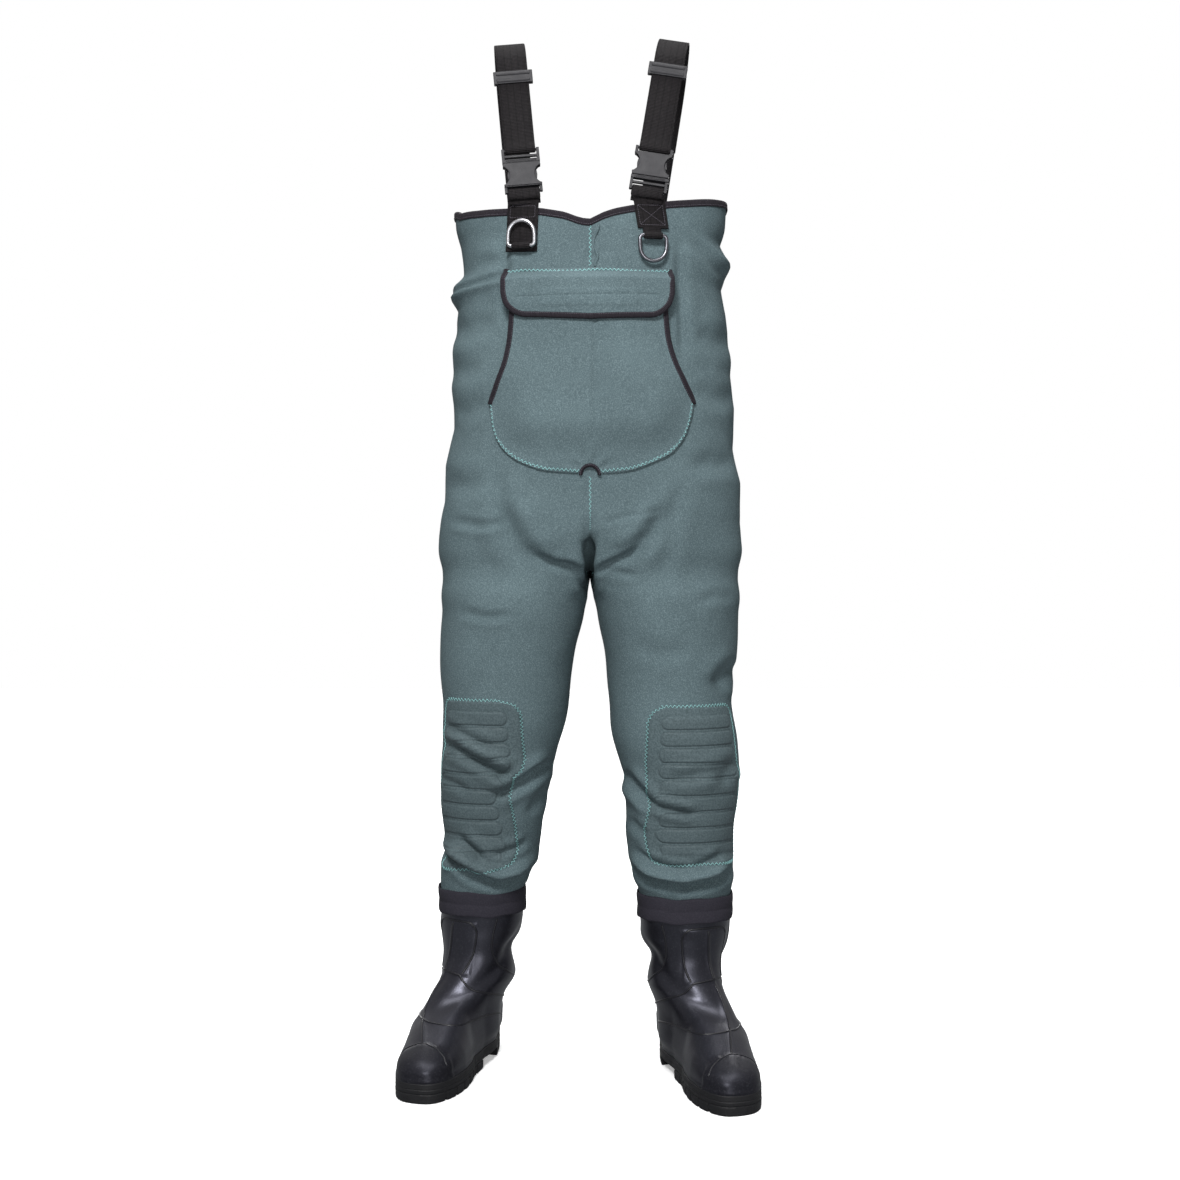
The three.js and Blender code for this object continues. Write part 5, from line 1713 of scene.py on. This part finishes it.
def socket(side, body):
    bite = [(-32.5 + 14.6 * math.cos(a), 26 + 14.6 * math.sin(a)) for a in np.radians(np.linspace(-60, 60, 15))]
    edge = [(-27, 10.5), (-27, 13)] + bite + [(-27, 39), (-26.4, 44)]
    shell = block(f"socket_body_{side}", side, edge + [(-x, z) for x, z in reversed(edge)], -5.6, 5.6)
    cut(shell, block("cavity", side, rect(-24.4, 24.4, 12.6, 50), -3.2, 3.2))
    parts = [shell, bar("socket_bar", side, 2.8)] + arms(side, 0.6, 11.5, 3.0)
    parts += [block("lip", side, rect(-26.8, 26.8, 9.2, 12.4), -4.6, 4.6)]
    moulded(parts, f"socket_{side}", body, f"buckle_socket_{side}", 0.9, 3, 32)


def plug(side, body):
    parts = [block("base", side, rect(-27, 27, 44.5, 49.4), -4.7, 4.7)]
    parts += [block("blade", side, rect(-6, 6, 20, 46), -2.8, 2.8), bar("plug_bar", side, 63.2)]
    parts += arms(side, 48, 65.6, 3.2)
    parts += [block("grip", side, rect(-24.5, 24.5, 52.8, 56.2), -2.7, 2.7)]
    parts += [block("ridge", side, rect(-22, 22, z, z + 0.9), -5.3, 5.3) for z in (45.6, 47.4)]
    moulded(parts, f"plug_{side}", body, f"buckle_plug_{side}", 0.7, 2, 32)


def prongs(side):
    outline = [(10.5, 44.6), (12, 38), (14.4, 31), (15, 24), (11.6, 18), (13.2, 16), (18.6, 17.6), (20.8, 21.4),
               (21.4, 26), (20.9, 31), (17.4, 37.4), (16, 44.6)]
    for sign, where in ((-1, "outer"), (1, "inner")):
        obj = block(f"prong_look_{side}_{where}", side, [(sign * x, z) for x, z in outline], -2.8, 2.8)
        body = f"prong_{side}_{where}"
        finish(obj, body, [f"buckle_{body}"], MAT["plastic"], shade=False)
        bevel(obj, 0.6, 2, 50)


def slider(side):
    at = STRAPS[side]["slider"]
    w, h, t = SLIDER["width"] / 2, SLIDER["height"] / 2, SLIDER["thick"] / 2
    shell = block("slider_body", side, rect(-w, w, at - h, at + h), -t, t, on_buckle)
    cut(shell, block("slot", side, rect(-24.0, 24.0, at - h - 5, at + h + 5), -2.9, 2.9, on_buckle))
    rails = [on_buckle(side, [[-w + 4, -t + 2.4, at + z], [w - 4, -t + 2.4, at + z]]) for z in (-5.0, 5.0)]
    parts = [shell] + [tube_between("rail", a, b, 3.7, 20) for a, b in rails]
    moulded(parts, f"slider_look_{side}", f"slider_{side}", f"strap_slider_{side}", 2.6, 4, 40)


def tab(side):
    """Webbing sewn flat on the bib and looped round the buckle's lower bar."""
    s = STRAPS[side]
    x0, low = s["tab"]
    ax, _, az = s["at"]
    keys = []  # point, direction across, direction out
    for h in np.linspace(low, az - 10, 16):
        x = x0 + (ax - x0) * (h - low) / (az - low)
        n = unit([float(torso.at(np.array([x]), h)[1][0, 0]) * 0.7, -1, 0])
        off = 2.6 + 1.8 * float(smooth(low + 30, az - 20, h))
        keys.append(np.concatenate([np.array([x, float(bib_front(x, h)), h]) + n * off, [-n[1], n[0], 0], n]))
    m = plane_matrix(side)
    loop = [on_run(-9, -2.4)] + round_bar(BUCKLE["bar_at"], 3.7, False)[::-1]
    loop += [on_run(-7, 2.4), on_run(-15, 1.6)]
    for (y, z), (dy, dz) in zip(loop, heading(np.array(loop))):
        keys.append(np.concatenate([in_plane(side, [0, y, z]), m[:, 0], m @ np.array([0, -dz, dy])]))
    fine = dense(np.array(keys) * np.array([1.0] * 3 + [0.01] * 6), 2.0)
    path, across, out = fine[:, :3], unit(fine[:, 3:6]), unit(fine[:, 6:])
    obj = sweep(f"tab_look_{side}", path, across, out, tape_profile(WEBBING + 1, 2.3))
    finish(obj, "suit", [f"strap_tab_{side}"], MAT["webbing"])
    flat = path[:, 2] < az - 12
    path, across, out = path[flat], across[flat], out[flat]
    lines = box_lines(18, 1241, 1269) if side == "left" else box_lines(18, 1252, 1268, crossed=False)
    names = [f"stitch_tab_{side}_{k}" for k in range(len(lines))] + [f"stitch_tab_{side}_6"]
    for name, (a, b) in zip(names, lines + [((-19, az - 13.5), (19, az - 13.5))]):
        sewn(name, "suit", path[:, 2], path, across, out, a, b, 1.25, 30)


def ring_holder(side):
    """Where the ring's bar is, and the directions along the bar and off the bib."""
    x, (y, z) = STRAPS[side]["tab"][0], STRAPS[side]["ring"]
    angle = math.atan((float(bib_front(x + 5, z)) - float(bib_front(x - 5, z))) / 10)
    c, s = math.cos(angle), math.sin(angle)
    return np.array([x, y, z]), np.array([c, s, 0]), np.array([s, -c, 0])


def d_ring(side):
    centre, across, out = ring_holder(side)
    up = np.array([0, 0, 1.0]) * STRAPS[side]["up"]
    half, deep = RING["half"], RING["depth"]
    bow = [(half * math.cos(a), deep - half + half * math.sin(a)) for a in np.linspace(0, math.pi, 33)]
    corner = [(-half - 0.4, z) for z in np.linspace(deep - half, 4, 6)[1:]]
    corner += [(-half + 1.2, 1.2), (-half + 4, 0)]
    straight = [(x, 0) for x in np.linspace(-half + 8, half - 8, 8)]
    shape = bow + corner + straight + [(-x, z) for x, z in reversed(corner)]
    path = np.array([centre + across * x + up * z for x, z in shape])
    side_ = unit(np.cross(unit(np.roll(path, -1, 0) - np.roll(path, 1, 0)), out))
    outs = np.tile(out, (len(path), 1))
    obj = sweep(f"ring_look_{side}", path, side_, outs, circle(16) * RING["wire"], closed=True)
    metal = MAT["steel"] if side == "right" else MAT["gunmetal"]
    finish(obj, f"ring_{side}", [f"d_ring_{side}"], metal)


def ring_keeper(side):
    """Webbing folded round the ring's bar, with its ends sewn flat behind the tab."""
    centre, across, out = ring_holder(side)
    up = np.array([0, 0, 1.0])
    r = RING["wire"] + 1.3
    run = [centre - out * back + up * rise for back, rise in ((8.0, 14), (7.2, 7), (4.0, 3.6))]
    turn = np.radians(np.linspace(118, -150, 20))
    run += [centre + out * r * math.cos(a) + up * r * math.sin(a) for a in turn]
    path = dense(np.array(run), 1.6)
    across = np.tile(across, (len(path), 1))
    outs = unit(np.cross(heading(path), across))
    obj = sweep(f"keeper_look_{side}", path, across, outs, tape_profile(27, 1.7))
    finish(obj, "suit", [f"ring_keeper_{side}"], MAT["webbing"])


def straps():
    for side in SIDES:
        s = STRAPS[side]
        strap, own = f"strap_{side}", f"slider_{side}"
        length, at = BUCKLE["length"], s["slider"]
        mirror = lambda points: [np.array([STRAP_SPAN - y, z]) for y, z in points]
        start, top = on_run(RUN, 1.3), np.array([STRAP_SPAN / 2, s["rise"]])
        lead = np.array([math.sin(PITCH), math.cos(PITCH)]) * 26
        arch = bezier(start, start + lead, top - np.array([48, 0]), top, 24)[1:]
        front = [on_run(length + 1.5, 3.1), on_run(length + 9, 1.9), on_run(length + 16, 1.3)]
        front += [on_run(110, 1.3), on_run(155, 1.3), start]
        back = mirror([on_run(125, 1.3), on_run(160, 1.3), start])[::-1]
        over = front + list(arch) + mirror(arch[:-1])[::-1] + back
        _, *run = band(f"shoulder_look_{side}", side, over, WEBBING, 2.0, strap, [f"shoulder_strap_{side}"])
        crossed_box(f"stitch_back_{side}", run, 4, 24, 18, 1.1, strap)

        bar_at = length - BUCKLE["bar_at"]
        under = [on_run(z, -1.3) for z in (bar_at + 14, 110, at - 30, at - 4)]
        obj, *_ = band(f"return_look_{side}", side, round_bar(bar_at, 3.5, True) + under, WEBBING, 2.0, strap,
                       [f"strap_return_{side}"])
        blend_between(obj)

        hang = [on_run(150, 4.2), on_run(120, 3.8), on_run(60, 3.4), on_run(4, 3.4), (2, -14), (4, -44)]
        obj, *run = band(f"elastic_look_{side}", side, mirror(hang), WEBBING - 2, 1.8, strap,
                         [f"strap_elastic_{side}"], "elastic")
        crossed_box(f"stitch_elastic_{side}", run, 3, 13, 17, 1.0, "suit")
        blend_between(obj)

        socket(side, "suit" if side == "right" else strap)
        plug(side, strap if side == "right" else "suit")
        prongs(side)
        slider(side)
        tab(side)
        d_ring(side)
        ring_keeper(side)


seam_stitches()
front_pleat()
rim_binding()
boot_bands()
knee_pads()
pocket()
flap()
boots()
straps()

# ------------------------------------------------------------------ floor, light and camera


def background(tree, strength):
    made = tree.nodes.new("ShaderNodeBackground")
    made.inputs["Color"].default_value = WHITE
    made.inputs["Strength"].default_value = strength
    return made


def studio():
    """Soft light from all round, a brighter room in reflections and plain white behind the object."""
    world = bpy.data.worlds.new("studio")
    world.use_nodes = True
    tree = world.node_tree
    rays = tree.nodes.new("ShaderNodeLightPath")
    seen = background(tree, 0.12)
    for ray, strength in (("Is Glossy Ray", 0.36), ("Is Camera Ray", 1.0)):
        mix = tree.nodes.new("ShaderNodeMixShader")
        tree.links.new(rays.outputs[ray], mix.inputs["Fac"])
        tree.links.new(seen.outputs[0], mix.inputs[1])
        tree.links.new(background(tree, strength).outputs[0], mix.inputs[2])
        seen = mix
    tree.links.new(seen.outputs[0], tree.nodes["World Output"].inputs["Surface"])
    return world


LAMPS = [  # name, place and aim in metres, size, power
    ("key", (-0.45, -2.75, 2.75), (0, 0, 0.75), 0.8, 104),
    ("fill", (0.3, -3.3, 0.7), (0, 0, 0.6), 1.6, 34),
    ("back", (0.3, 3.1, 2.2), (0, 0, 0.9), 1.6, 60),
    ("back_fill", (-0.6, 3.2, 0.8), (0, 0, 0.8), 1.6, 14),
]


def stage():
    scene = bpy.context.scene
    reach = 9000
    corners = [[-reach, -reach, 0], [reach, -reach, 0], [reach, reach, 0], [-reach, reach, 0]]
    floor = mesh_object("floor", corners, [(0, 1, 2, 3)])
    look = Look("floor", srgb(250, 250, 250), 0.9)
    seen = look.node("ShaderNodeLightPath").outputs["Is Camera Ray"]
    look.colour(look.mix(seen, srgb(120, 122, 124), srgb(250, 250, 250)))
    look.link(look.mix(seen, BLACK, (0.35, 0.35, 0.35, 1)), look.shader.inputs["Emission Color"])
    look.shader.inputs["Emission Strength"].default_value = 1.0
    floor.data.materials.append(look.material)
    scene.world = studio()
    scene.view_settings.view_transform = "Standard"
    sky = bpy.data.lights.new("sky", "SUN")
    sky.energy, sky.angle = 2.6, math.radians(40)
    linked("sky", sky)
    for name, place, aim, size, power in LAMPS:
        data = bpy.data.lights.new(name, "AREA")
        data.shape, data.size, data.energy = "DISK", size, power
        lamp = linked(name, data)
        lamp.location = place
        lamp.rotation_euler = (Vector(aim) - Vector(place)).to_track_quat("-Z", "Y").to_euler()
    data = bpy.data.cameras.new("camera")
    data.lens, data.sensor_width = 47.6, 36
    scene.camera = linked("camera", data)
    scene.camera.location = (0.0192, -2.314, 0.72)
    scene.camera.rotation_euler = (math.pi / 2, 0, 0)


stage()
